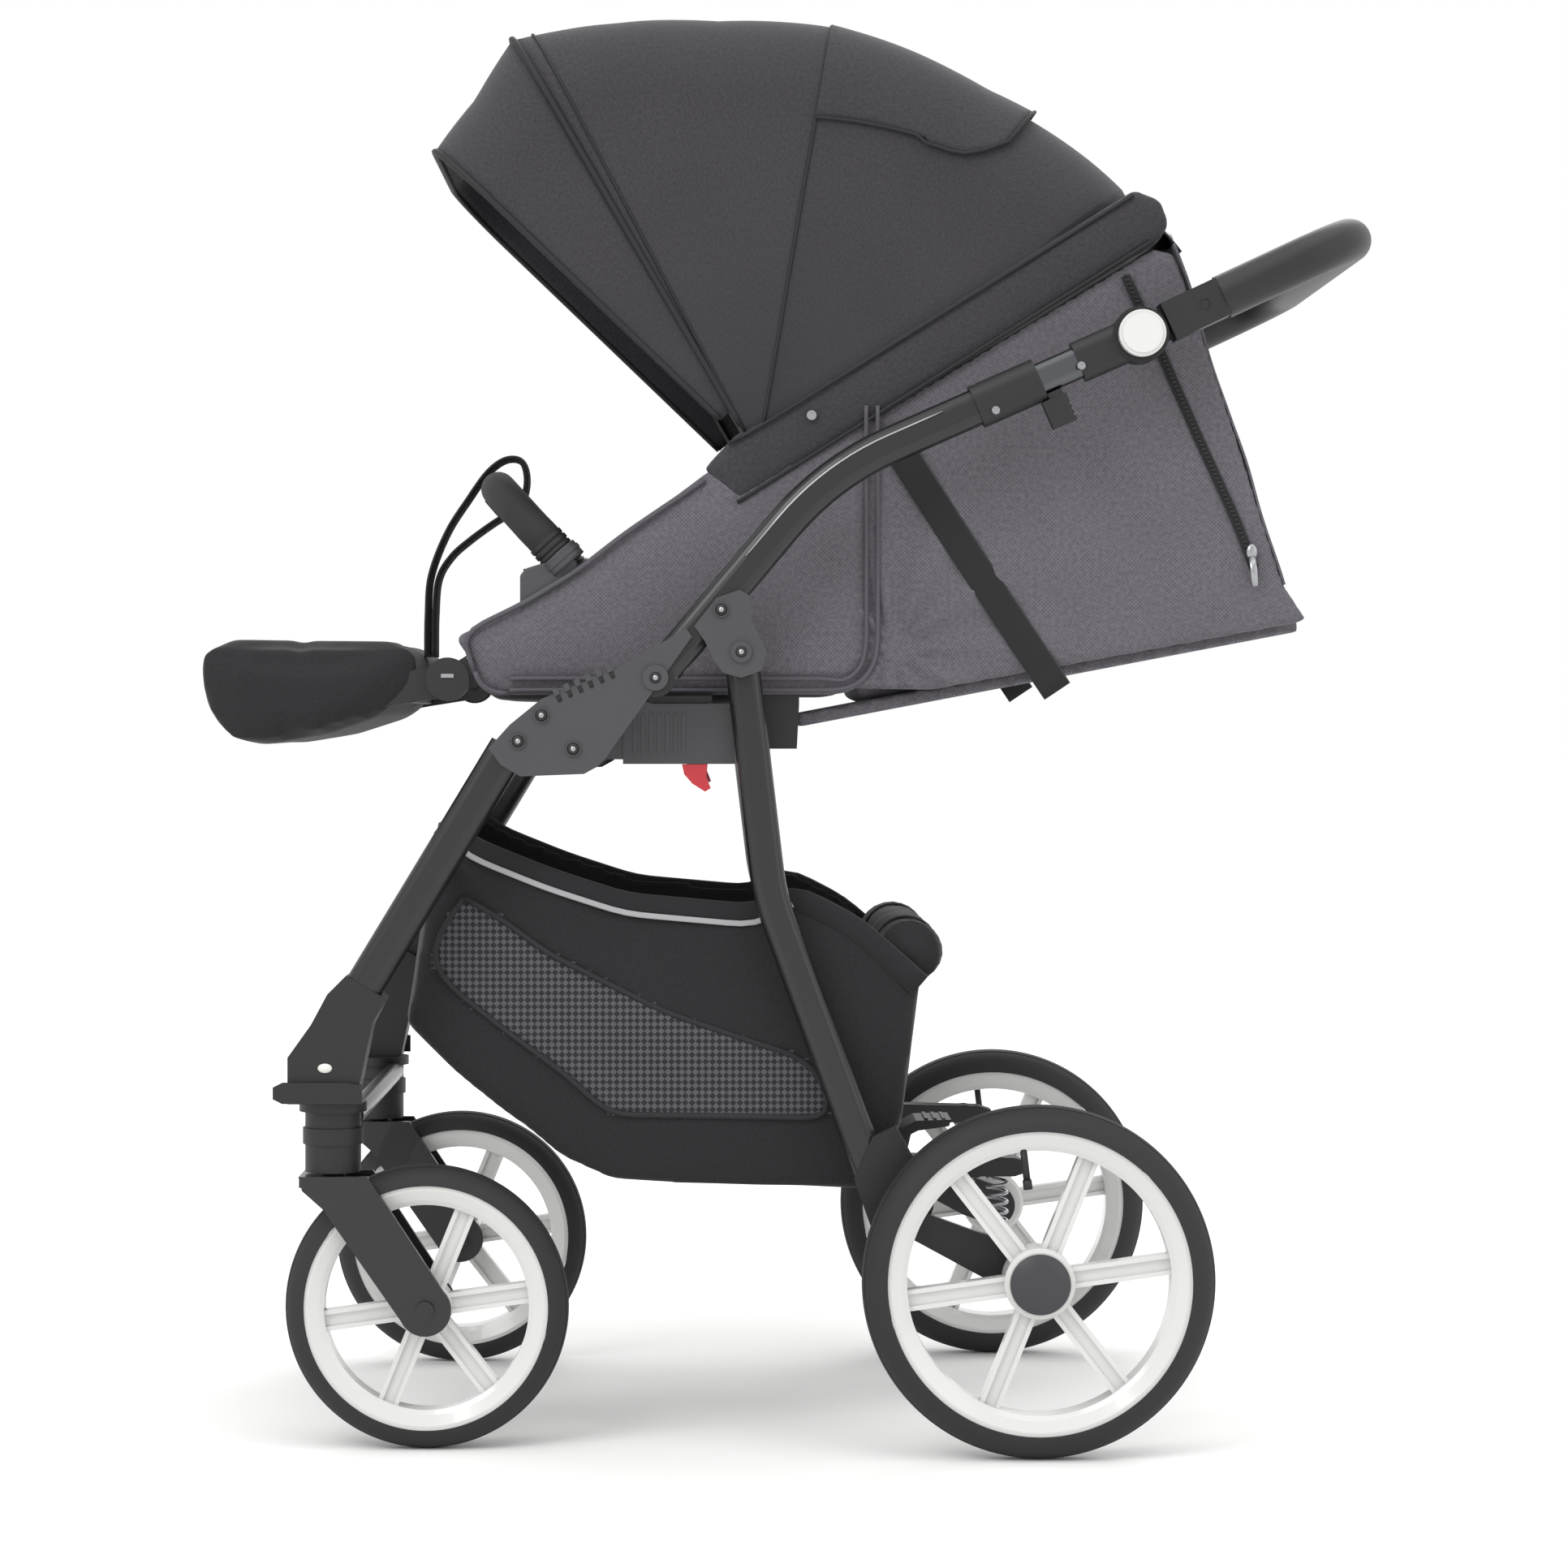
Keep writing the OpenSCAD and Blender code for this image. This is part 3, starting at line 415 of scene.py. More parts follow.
def screw(bm, place, s, radius):
    head = bmesh.ops.create_cone(bm, cap_ends=True, segments=20, radius1=radius, radius2=radius * 0.8,
                                 depth=1.6 * MM)["verts"]
    bmesh.ops.rotate(bm, verts=head, cent=(0, 0, 0), matrix=Matrix.Rotation(-s * math.pi / 2, 3, "X"))
    bmesh.ops.translate(bm, verts=head, vec=place)
    outer = max((v.co.y * s for v in head))
    caps = [f for f in bm.faces if all(abs(v.co.y * s - outer) < 1e-6 and v in head for v in f.verts)]
    bmesh.ops.inset_region(bm, faces=caps, thickness=radius * 0.35, depth=0)
    bmesh.ops.inset_region(bm, faces=caps, thickness=0.2 * MM, depth=-0.8 * MM)


bm = bmesh.new()
for s in (-1, 1):
    slot_bar = bmesh.ops.create_cube(bm, size=1)["verts"]
    bmesh.ops.scale(bm, verts=slot_bar, vec=(11 * MM, 1.6 * MM, 3.4 * MM))
    bmesh.ops.translate(bm, verts=slot_bar, vec=(-0.290, s * 0.1972, 0.6645))
thing("footrest_pivot_slots", bm, zinc, "seat", smooth=False)

# Side-view places of the rivets, by the body that their pin is fixed to.
rivets = {"front_frame": ((-108, 662), (-205, 630), (-225, 608), (-178, 601.5)),
          "handle_frame": ((-35, 684), (-52, 720))}
for body, places in rivets.items():
    for name, finish, radius, out in (("rings", black_nylon, 5.4, 272.5), ("centres", zinc, 2.7, 273.1)):
        bm = bmesh.new()
        for x, z in places:
            for s in (-1, 1):
                disc = bmesh.ops.create_cone(bm, cap_ends=True, segments=24, radius1=radius * MM,
                                             radius2=0.7 * radius * MM, depth=1.2 * MM)["verts"]
                bmesh.ops.rotate(bm, verts=disc, matrix=Matrix.Rotation(math.radians(-90 * s), 3, "X"))
                bmesh.ops.translate(bm, verts=disc, vec=(x * MM, s * out * MM, z * MM))
        thing(f"{body}_rivet_{name}", bm, finish, body)

# Six grip slots slant across the upper edge of each hinge plate. They are drawn as dark nylon bars, and the
# dark colour is painted shade of the grooves.
slant = Vector((-0.406, 0, 0.914))
bm = bmesh.new()
for k in range(6):
    for s in (-1, 1):
        middle = Vector((-0.192 + 0.009 * k, s * 0.2683, 0.649 + 0.004 * k))
        tube(bm, [middle + slant * 0.004, middle - slant * 0.008], 2.1 * MM, 10)
thing("hinge_plate_grip_slots_painted_shade", bm, black_nylon, "front_frame")

# A painted highlight: a thin bright zinc line follows the bend of each upper tube, 8 mm above its centre
# line, where the tube's shine falls.
bend_x, bend_z, bend_radius = 193.9, 632.6, 250 + 8
bm = bmesh.new()
for s in (-1, 1):
    line = [(-31, 765.9)]
    line += [(bend_x + bend_radius * math.cos(a), bend_z + bend_radius * math.sin(a))
             for a in [math.radians(139.9 - 2.62 * k) for k in range(11)]]
    line.append((136.8, 889.3))
    tube(bm, [Vector((x * MM, s * 0.2612, z * MM)) for x, z in line], 0.9 * MM, 8)
thing("upper_tube_painted_highlight_lines", bm, zinc, "handle_frame")

milky = grained("milky_polycarbonate", "#D9D8D2", 0.3, 5, 0.03, Coat_Weight=0.2)
for side, s in (("left", -1), ("right", 1)):
    bm = bmesh.new()
    for x, z in ((182, 890), (255, 928)):
        screw(bm, Vector((x * MM, s * 264.2 * MM, z * MM)), s, 4.2 * MM)
    thing(f"collar_screws_{side}", bm, zinc, "handle_frame", smooth=False)
    bm = bmesh.new()
    pane = bmesh.ops.create_cone(bm, cap_ends=True, segments=24, radius1=4.4 * MM, radius2=3.6 * MM,
                                 depth=2.4 * MM)["verts"]
    bmesh.ops.rotate(bm, verts=pane, cent=(0, 0, 0), matrix=Matrix.Rotation(-s * math.pi / 2, 3, "X"))
    bmesh.ops.scale(bm, verts=pane, vec=(1.5, 1, 1))
    bmesh.ops.translate(bm, verts=pane, vec=(-0.390, s * 0.2625, 0.329))
    thing(f"leg_window_{side}", bm, milky, "front_frame")

# ---- Handle grip ------------------------------------------------------------
# Padded leatherette sewn along the inside of the loop over a foam sleeve.

leatherette = grained("black_leatherette", "#111113", 0.5, 1.4, 0.35, Sheen_Weight=0.1)
dress(leatherette, "handle_grip")

# ---- Basket -----------------------------------------------------------------
# A woven polyester tray, bound along its rim and hung on four webbing loops, with
# a crescent of open mesh let into each side and a tool roll across the back.


def even_cover(outline, y0, y1, voxel):
    """A side-view outline filled from y0 to y1, all in millimetres, remeshed to even squares."""
    bm = bmesh.new()
    ring = [bm.verts.new((x * MM, y0 * MM, z * MM)) for x, z in outline]
    grown = bmesh.ops.extrude_face_region(bm, geom=[bm.faces.new(ring)])["geom"]
    bmesh.ops.translate(bm, verts=[g for g in grown if isinstance(g, bmesh.types.BMVert)],
                        vec=(0, (y1 - y0) * MM, 0))
    bmesh.ops.recalc_face_normals(bm, faces=bm.faces)
    mesh = bpy.data.meshes.new("blank")
    bm.to_mesh(mesh)
    blank = bpy.data.objects.new("blank", mesh)
    bpy.context.collection.objects.link(blank)
    evener = blank.modifiers.new("even", "REMESH")
    evener.mode = "VOXEL"
    evener.voxel_size = voxel * MM
    shaped = bpy.data.meshes.new_from_object(
        blank.evaluated_get(bpy.context.evaluated_depsgraph_get()))
    bpy.data.objects.remove(blank)
    bm.clear()
    bm.from_mesh(shaped)
    return bm


def away(point, line, closed=True):
    """Distance in the side view from a point to a line of points, all in metres."""
    best = 9.0
    ends = list(zip(line, line[1:] + line[:1])) if closed else list(zip(line, line[1:]))
    for (x0, z0), (x1, z1) in ends:
        dx, dz = x1 - x0, z1 - z0
        share = ((point.x - x0) * dx + (point.z - z0) * dz) / (dx * dx + dz * dz)
        share = min(1.0, max(0.0, share))
        best = min(best, math.hypot(point.x - x0 - share * dx, point.z - z0 - share * dz))
    return best


def in_metres(line):
    return [(x * MM, z * MM) for x, z in line]


basket_rim = [(-295, 544), (-270, 523), (-203, 496), (-135, 474), (-22, 464), (10, 482), (63, 455),
              (121, 404)]
basket_foot = [(104, 274), (90, 236), (70, 218), (-145, 226), (-190, 247), (-285, 322), (-325, 362)]
crescent = [(-275, 472), (-298, 440), (-303, 414), (-285, 393), (-238, 356), (-186, 318), (-149, 284),
            (43, 281), (40, 308), (22, 332), (-40, 352), (-101, 373), (-203, 424), (-240, 452)]


def inside(point, line):
    """True where a side-view point lies within a closed line."""
    odd = False
    for (x0, z0), (x1, z1) in zip(line, line[1:] + line[:1]):
        if (z0 > point.z) != (z1 > point.z) and point.x < x0 + (x1 - x0) * (point.z - z0) / (z1 - z0):
            odd = not odd
    return odd


bm = even_cover(basket_rim + basket_foot, -199, 199, 7)
rim, floor_line, mesh_line = in_metres(basket_rim), in_metres(basket_foot), in_metres(crescent)
whole = rim + floor_line
bm.normal_update()
lid = [f for f in bm.faces
       if away(f.calc_center_median(), rim, False) < 6 * MM and abs(f.normal.y) < 0.6
       and f.normal.z > 0.2 and abs(f.calc_center_median().y) < 0.1965]
bmesh.ops.delete(bm, geom=lid, context="FACES")
bmesh.ops.smooth_vert(bm, verts=bm.verts, factor=0.5, use_axis_x=True, use_axis_y=True, use_axis_z=True)
for v in bm.verts:
    p = v.co
    across = abs(p.y) / 0.199
    edge = away(p, whole)
    if across > 0.9:
        swell = 7 * MM * (1 - math.exp(-edge / 0.05))
        ripple = 2.2 * MM * noise.noise(Vector((p.x * 9, p.y * 3, p.z * 14)))
        p.y += math.copysign(swell + ripple, p.y)
    else:
        hollow = 1 - across ** 2
        p.z -= 5 * MM * hollow if p.z < 0.26 else 0
        p.x += 8 * MM * hollow * (1 if p.x > 0.08 else 0)
        p.x -= 10 * MM * hollow * (1 if p.x < -0.2 and p.z > 0.3 else 0)
    p += 1.2 * MM * noise.noise_vector(p * 16)
net_faces = [f for f in bm.faces
             if abs(f.calc_center_median().y) > 0.19 and inside(f.calc_center_median(), mesh_line)]
for f in bm.faces:
    f.material_index = 0
for f in net_faces:
    f.material_index = 1
cut_cloth(bm)
basket = thing("basket_tray", bm, black_canvas, "front_frame")


def net_cloth():
    made, tree, shader = finish_of("checked_basket_net")
    shader.inputs["Roughness"].default_value = 0.8
    place = add(tree, "ShaderNodeTexCoord")
    turned = add(tree, "ShaderNodeMapping", {"Rotation": (0, 0, math.radians(45))},
                 {"Vector": place.outputs["UV"]})
    checks = add(tree, "ShaderNodeTexChecker", {"Scale": 1 / (4.2 * MM), "Color1": linear("#18171A"),
                 "Color2": linear("#4C4A50")}, {"Vector": turned.outputs["Vector"]})
    tree.links.new(checks.outputs["Color"], shader.inputs["Base Color"])
    relief = add(tree, "ShaderNodeBump", {"Strength": 0.7, "Distance": 0.5 * MM},
                 {"Height": checks.outputs["Fac"]})
    tree.links.new(relief.outputs["Normal"], shader.inputs["Normal"])
    return made


basket.data.materials.append(net_cloth())
wall = basket.modifiers.new("cloth_thickness", "SOLIDIFY")
wall.thickness = 1.6 * MM
wall.offset = -1
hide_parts("basket")


def follow(line, step=12):
    """Points every few millimetres along a side-view line, corners eased by averaging."""
    points = []
    for (x0, z0), (x1, z1) in zip(line, line[1:]):
        n = max(1, round(math.hypot(x1 - x0, z1 - z0) / step))
        points += [Vector((x0 + (x1 - x0) * k / n, 0, z0 + (z1 - z0) * k / n)) for k in range(n)]
    points.append(Vector((line[-1][0], 0, line[-1][1])))
    for _ in range(2):
        points = [points[0]] + [
            (a + 2 * b + c) / 4 for a, b, c in zip(points, points[1:], points[2:])
        ] + [points[-1]]
    return points


def strip(bm, points, y, wide, thick, lean=Vector((0, 0, 0))):
    """A flat tape standing on edge along side-view points: wide in the side view, thick across."""
    line = [Vector((p.x * MM, y * MM, p.z * MM)) + lean for p in points]
    tube(bm, line, wide / 2 * MM, 10, thick / wide, thin=(0, 1, 0))


def binding(name, line, ys, wide, thick, material, body):
    bm = bmesh.new()
    for y in ys:
        strip(bm, follow(line), y, wide, thick)
    made = thing(name, bm, material, body)
    return made


lowered = [(x, z - 8) for x, z in basket_rim]
hem = binding("basket_hem", lowered, (-201.5, 201.5), 21, 4.5, black_canvas, "front_frame")
glint = binding("basket_reflective_line", [(x, z - 16) for x, z in basket_rim[:6]], (-204.6, 204.6), 5,
                1.2, reflective_tape, "front_frame")
trim = binding("basket_net_binding", crescent + crescent[:1], (-205.5, 205.5), 5, 3, piping_cord,
               "front_frame")
bm = bmesh.new()
tube(bm, [Vector((0.112 + 0.004 * math.sin(k * 1.7), (-195 + 26 * k) * MM, 0.424)) for k in range(16)],
     26 * MM, 20, 1.02)
for v in bm.verts:
    v.co += 2.5 * MM * noise.noise_vector(v.co * 22)
cut_cloth(bm)
roll = thing("basket_tool_roll", bm, black_canvas, "front_frame")
bm = bmesh.new()
for y in (-120, 120):
    turn_line = [Vector((0.112 + 0.028 * math.cos(a), y * MM, 0.424 + 0.028 * math.sin(a)))
                 for a in [2 * math.pi * k / 24 for k in range(25)]]
    tube(bm, turn_line, 10 * MM, 8, 0.14, broad=(0, 1, 0))
roll_straps = thing("basket_roll_straps", bm, webbing, "front_frame")
bm = bmesh.new()
for x, z, outer in ((-293, 504, 232), (-1, 454, 210)):
    for s in (-1, 1):
        tube(bm, [Vector((x * MM, s * y * MM, (z + rise) * MM))
                  for y, rise in ((199, -6), (203, -1), (outer - 4, 3), (outer, 4))],
             11 * MM, 8, 0.16, broad=(1, 0, 0))
loops = thing("basket_loops", bm, webbing, "front_frame")
for piece in (basket, hem, glint, trim, roll, roll_straps, loops):
    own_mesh(piece)

# ---- Seat pads --------------------------------------------------------------
# Foam slabs in black canvas covers. Each cover is swelled as cloth by its filling,
# capped a few millimetres from its cut, and the sewn channels are pressed in after.


def swelled(bm, cap, pressure=4):
    """Blows the cover up from inside as cloth, and holds every point within cap of where it was cut."""
    mesh = bpy.data.meshes.new("cover")
    bm.to_mesh(mesh)
    cut = [v.co.copy() for v in mesh.vertices]
    cover = bpy.data.objects.new("cover", mesh)
    bpy.context.collection.objects.link(cover)
    cloth = cover.modifiers.new("filled", "CLOTH").settings
    cloth.use_pressure = True
    cloth.uniform_pressure_force = pressure
    cloth.effector_weights.gravity = 0
    cloth.quality = 4
    cloth.tension_stiffness = 25
    cloth.compression_stiffness = 25
    cloth.bending_stiffness = 1.5
    for step in range(1, 15):
        bpy.context.scene.frame_set(step)
    done = cover.evaluated_get(bpy.context.evaluated_depsgraph_get())
    moved = [v.co.copy() for v in done.data.vertices]
    bpy.context.scene.frame_set(1)
    bpy.data.objects.remove(cover)
    bm.clear()
    bm.from_mesh(mesh)
    for v, start, end in zip(bm.verts, cut, moved):
        step = end - start
        v.co = start + step * min(1.0, cap * MM / max(step.length, 1e-9))
    bmesh.ops.smooth_vert(bm, verts=bm.verts, factor=0.5, use_axis_x=True, use_axis_y=True,
                          use_axis_z=True)
    return bm


def channel(bm, near, depth, wide):
    """Presses a sewn channel where near(point) is small, for faces that near accepts."""
    bm.normal_update()
    pushed = []
    for v in bm.verts:
        distance = near(v.co, v.normal)
        if distance is not None and distance < 3 * wide * MM:
            pushed.append((v, -v.normal * depth * MM * math.exp(-((distance / (wide * MM)) ** 2))))
    for v, step in pushed:
        v.co += step


def pad(name, bm, material, body, node):
    cut_cloth(bm)
    made = thing(name, bm, material, body)
    finer = made.modifiers.new("rounding", "SUBSURF")
    finer.levels = finer.render_levels = 1
    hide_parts(node)
    return made


seat_line = [(-270, 656), (-258, 651), (-20, 646), (-20, 664), (-258, 679), (-270, 674)]
bm = swelled(even_cover(seat_line, -169, 169, 6), 7)
channel(bm, lambda p, n: abs(p.y) if n.z > 0.5 else None, 3, 5)
channel(bm, lambda p, n: abs(abs(p.y) - 0.118) if n.z > 0.5 else None, 4, 5)
channel(bm, lambda p, n: abs(p.x + 0.09) if n.z > 0.5 and abs(p.y) < 0.118 else None, 3, 5)
pad("seat_cushion", bm, black_canvas, "seat", "seat_base")

recline = math.radians(10.8)
back_axis = Vector((0, 0, 0.617))


def on_back(u, v, y=0.0):
    """A point along and above the reclined backrest, in millimetres."""
    return back_axis + Vector((
        (u * math.cos(recline) - v * math.sin(recline)) * MM, y * MM,
        (u * math.sin(recline) + v * math.cos(recline)) * MM))


back_line = [on_back(u, v) for u, v in ((66, 15), (452, 15), (457, 22), (457, 32), (449, 37), (78, 37),
                                        (68, 31))]
bm = swelled(even_cover([(p.x / MM, p.z / MM) for p in back_line], -165, 165, 6), 6)
up_back = Vector((-math.sin(recline), 0, math.cos(recline)))
along_back = Vector((math.cos(recline), 0, math.sin(recline)))
for cross in (150, 240, 330, 400):
    channel(bm, lambda p, n, c=cross: abs((p - back_axis).dot(along_back) - c * MM)
            if n.dot(up_back) > 0.5 and abs(p.y) < 0.12 else None, 3.5, 5)
channel(bm, lambda p, n: abs(abs(p.y) - 0.12) if n.dot(up_back) > 0.5 else None, 4, 5)
pad("backrest_cushion", bm, grey_canvas, "backrest", "backrest_pad")

board_line = [on_back(u, v) for u, v in ((15, 0), (462, 0), (462, 12), (15, 12))]
bm = even_cover([(p.x / MM, p.z / MM) for p in board_line], -172, 172, 4)
bmesh.ops.smooth_vert(bm, verts=bm.verts, factor=0.5, use_axis_x=True, use_axis_y=True, use_axis_z=True)
cut_cloth(bm)
board = thing("backrest_board_cover", bm, grey_canvas, "backrest")
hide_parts("backrest_board")

# ---- Footrest ---------------------------------------------------------------
# A deep foam leg pad in the same canvas, boxed at its edges.

foot_line = [(-320, 690), (-494, 692), (-505, 687), (-508, 676), (-502, 642), (-490, 621), (-480, 612),
             (-455, 609), (-400, 618), (-342, 637), (-326, 652), (-315, 676)]
bm = swelled(even_cover(foot_line, -187.5, 187.5, 6), 5)
channel(bm, lambda p, n: abs(p.x + 0.42) if n.z > 0.5 else None, 2.5, 5)
pad("leg_pad", bm, black_canvas, "footrest", "footrest_pad")
# ---- Side bolsters and rear panels ------------------------------------------
# Quilted grey canvas wraps the hoop on both sides, and its seams are piped. Behind
# the hoop the same canvas closes the reclined seat, opened by a long zip.


def crowned(bm, line, crown, soft=0.02):
    """Rounds a flat panel out from its outline, and ripples it a little as stretched cloth does."""
    edge = in_metres(line)
    middle = (min(v.co.y for v in bm.verts) + max(v.co.y for v in bm.verts)) / 2
    bmesh.ops.smooth_vert(bm, verts=bm.verts, factor=0.5, use_axis_x=True, use_axis_y=True,
                          use_axis_z=True)
    for v in bm.verts:
        p = v.co
        rise = crown * MM * (1 - math.exp(-away(p, edge) / soft)) - 0.4 * crown * MM
        rise += 1.0 * MM * noise.noise(Vector((p.x * 13, 5 * p.y, p.z * 13)))
        p.y += rise if p.y > middle else -0.3 * rise
    return bm


bolster_line = [(-284, 698), (-224, 727), (-175, 756), (-137, 787), (-64, 842), (-44, 850), (84, 908),
                (84, 690), (81, 673), (73, 659), (61, 651), (46, 648), (-245, 648), (-257, 653),
                (-264, 662), (-270, 678)]
rear_line = [(50, 654), (50, 870), (290, 1016), (324, 1036), (342, 1032), (360, 985), (437, 744),
             (458, 712), (130, 652)]


def both_sides(bm):
    """Adds the mirror image on the other side of the seat."""
    bmesh.ops.recalc_face_normals(bm, faces=bm.faces)
    bmesh.ops.mirror(bm, geom=bm.verts[:] + bm.edges[:] + bm.faces[:], matrix=Matrix.Identity(4),
                     merge_dist=-1, axis="Y")
    bmesh.ops.recalc_face_normals(bm, faces=bm.faces)


bm = crowned(even_cover(bolster_line, 178, 198, 5), bolster_line, 5)
for line in ([(-43, 812), (78, 888)], [(-262, 690), (-224, 715), (-175, 744), (-130, 777), (-62, 822)],
             [(-240, 662), (66, 662)]):
    points = in_metres(line)
    channel(bm, lambda p, n, l=points: away(p, l, False) if n.y > 0.5 else None, 1.6, 3)
both_sides(bm)
bolsters = pad("side_bolsters", bm, grey_canvas, "seat", "seat_side_panels")

bm = crowned(even_cover(rear_line, 183, 197, 5), rear_line, 2.5, 0.03)
knot = Vector((0.098, 0, 0.690))
for v in bm.verts:
    if v.co.y < 0.19:
        continue
    out = Vector((v.co.x, 0, v.co.z)) - knot
    fan = 1.5 * math.sin(11 * math.atan2(out.z, out.x) + 1.3) * math.exp(-out.length / 0.085)
    v.co.y += 3.4 * MM * fan * min(1.0, out.length / 0.03)
    v.co.y += 2.2 * MM * noise.noise(Vector((v.co.x * 7 + v.co.z * 5, 3.7, v.co.z * 6)))
both_sides(bm)
cut_cloth(bm)
quarter_panels = thing("rear_quarter_panels", bm, grey_canvas)

bm = bmesh.new()
bmesh.ops.create_grid(bm, x_segments=48, y_segments=40, size=0.5)
for v in bm.verts:
    across, down = 2 * v.co.x, v.co.y + 0.5
    y = 0.1955 * across
    spread = 0.012 * (1 - across ** 2) * math.sin(math.pi * down)
    v.co = Vector((
        (343 + 96 * down) * MM + spread + 0.003 * noise.noise(Vector((across * 3, down * 4, 1))),
        y, (1041 - 297 * down) * MM))
cut_cloth(bm)
head_panel = thing("rear_head_panel", bm, grey_canvas)
wall = head_panel.modifiers.new("cloth_thickness", "SOLIDIFY")
wall.thickness = 2 * MM
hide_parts("rear_panels")
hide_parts("rear_panels")

bm = bmesh.new()
for s in (-1, 1):
    for inset in (3, 13):
        line = [(87 - inset, 899), (87 - inset, 690), (84 - inset, 674), (75 - inset, 660 + inset / 4),
                (62 - inset, 652 + inset / 2), (46, 649 + inset), (-236, 649 + inset)]
        tube(bm, [Vector((p.x * MM, s * 0.2012, p.z * MM)) for p in follow(line, 8)], 1.9 * MM, 10)
thing("upright_piping", bm, grey_cord, "seat")
bm = bmesh.new()
for s in (-1, 1):
    lower = [(-266, 668), (-262, 657), (-250, 649), (-236, 649)]
    tube(bm, [Vector((p.x * MM, s * 0.199, p.z * MM)) for p in follow(lower, 6)], 2.4 * MM, 10)
    upper = [(-266, 668), (-274, 688), (-276, 699), (-270, 705), (-224, 727), (-175, 757), (-137, 787),
             (-66, 835)]
    tube(bm, [Vector((p.x * MM, s * 0.199, p.z * MM)) for p in follow(upper)], 2.4 * MM, 10)
thing("bolster_piping", bm, grey_cord, "seat")

zip_line = [(299, 1012), (330, 945), (362, 872), (395, 800), (411, 758)]
bm = bmesh.new()
for s in (-1, 1):
    strip(bm, follow(zip_line), s * 200.2, 9, 1.6)
zip_tape = thing("rear_zip_tape", bm, webbing)
bm = bmesh.new()
for s in (-1, 1):
    for p in follow(zip_line, 4):
        tooth = bmesh.ops.create_cube(bm, size=1)["verts"]
        bmesh.ops.scale(bm, verts=tooth, vec=(3.4 * MM, 1.6 * MM, 1.8 * MM))
        bmesh.ops.translate(bm, verts=tooth, vec=(p.x * MM, s * 0.2014, p.z * MM))
zip_teeth = thing("rear_zip_teeth", bm, black_nylon, smooth=False)
bm = bmesh.new()
for s in (-1, 1):
    lug = bmesh.ops.create_uvsphere(bm, u_segments=16, v_segments=10, radius=1)["verts"]
    bmesh.ops.scale(bm, verts=lug, vec=(5 * MM, 2.4 * MM, 7 * MM))
    bmesh.ops.translate(bm, verts=lug, vec=(0.4085, s * 0.2025, 0.772))
    tube(bm, [Vector((0.4085, s * 0.204, 0.768)), Vector((0.410, s * 0.2055, 0.756)),
              Vector((0.411, s * 0.2055, 0.742))], 3.2 * MM, 10, 0.35, thin=(0, 1, 0))
zip_pull = thing("rear_zip_slider", bm, zinc)
bm = bmesh.new()
for s in (-1, 1):
    strip(bm, follow([(92, 878), (118, 837), (158, 775), (198, 714), (240, 651)]), s * 200.6, 27, 1.8)
side_strap = thing("recline_side_strap", bm, webbing)
for piece in (quarter_panels, head_panel, zip_tape, zip_teeth, zip_pull, side_strap):
    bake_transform(piece)

# ---- Bumper bar -------------------------------------------------------------
# EVA foam moulded round a curved bar, which ends in ribbed nylon rings and two
# knuckles, each in a socket on the seat. A moulding line runs along its inside.

foam = grained("moulded_black_foam", "#161618", 0.75, 1.0, 0.3)
tilt = math.radians(132)
reach_dir = Vector((math.cos(tilt), 0, math.sin(tilt)))


def eased(points, n=8):
    """A smooth line through given points."""
    points = [Vector(p) for p in points]
    spots = [2 * points[0] - points[1], *points, 2 * points[-1] - points[-2]]
    line = []
    for a, b, c, d in zip(spots, spots[1:], spots[2:], spots[3:]):
        for k in range(n):
            t = k / n
            line.append(0.5 * (2 * b + (c - a) * t + (2 * a - 5 * b + 4 * c - d) * t ** 2
                               + (3 * b - a - 3 * c + d) * t ** 3))
    return line + [points[-1]]


bar_line = []
for k in range(65):
    y = -160 + 320 * k / 64
    bulge = 54 * (1 - abs(y / 176) ** 3.2)
    bar_line.append(Vector((-0.218, y * MM, 0.796)) + reach_dir * bulge * MM)


def bar_end(s, far):
    """A point of the bar's straight end over its socket, far millimetres down from its bend."""
    return Vector((-0.211, s * 0.185, 0.789)) - reach_dir * far * MM


ends = {s: eased([bar_line[0 if s < 0 else -1], Vector((-0.2165, s * 0.176, 0.7945)), bar_end(s, 3),
                  bar_end(s, 14), bar_end(s, 30)], 6)[1:] for s in (-1, 1)}
bm = bmesh.new()
tube(bm, ends[-1][::-1] + bar_line + ends[1], 15.8 * MM, 28)
bumper = thing("bumper_foam_bar", bm, foam, "bumper")
bm = bmesh.new()
for s in (-1, 1):
    for start, stop, radius in ((8, 12, 16.8), (14, 18, 17.0), (20, 23, 16.8)):
        tube(bm, [bar_end(s, start), bar_end(s, start + 0.7), bar_end(s, stop - 0.7), bar_end(s, stop)],
             radius * MM, 32)
thing("bumper_end_rings", bm, black_nylon, "bumper")
bm = bmesh.new()
for s in (-1, 1):
    tube(bm, [bar_end(s, 24), bar_end(s, 24.8), bar_end(s, 35), bar_end(s, 38)], 18.5 * MM, 32)
    tube(bm, [bar_end(s, 28), bar_end(s, 28.6), bar_end(s, 31.4), bar_end(s, 32)], 19.4 * MM, 32)
knuckles = thing("bumper_knuckles", bm, grey_nylon, "bumper")
bm = bmesh.new()
for s in (-1, 1):
    ring = [bm.verts.new((x * MM, s * 0.176, z * MM)) for x, z in (
        (-227, 716), (-227, 752), (-222, 758), (-186, 769), (-178, 765), (-175, 742))]
    grown = bmesh.ops.extrude_face_region(bm, geom=[bm.faces.new(ring)])["geom"]
    bmesh.ops.translate(bm, verts=[g for g in grown if isinstance(g, bmesh.types.BMVert)],
                        vec=(0, s * 0.0195, 0))
bmesh.ops.bevel(bm, geom=bm.edges[:], offset=1.6 * MM, segments=3, profile=0.5, affect="EDGES", material=-1)
thing("bumper_sockets", bm, grey_nylon, "seat", smooth=False)
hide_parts("bumper_bar")
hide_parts("bumper_bar")
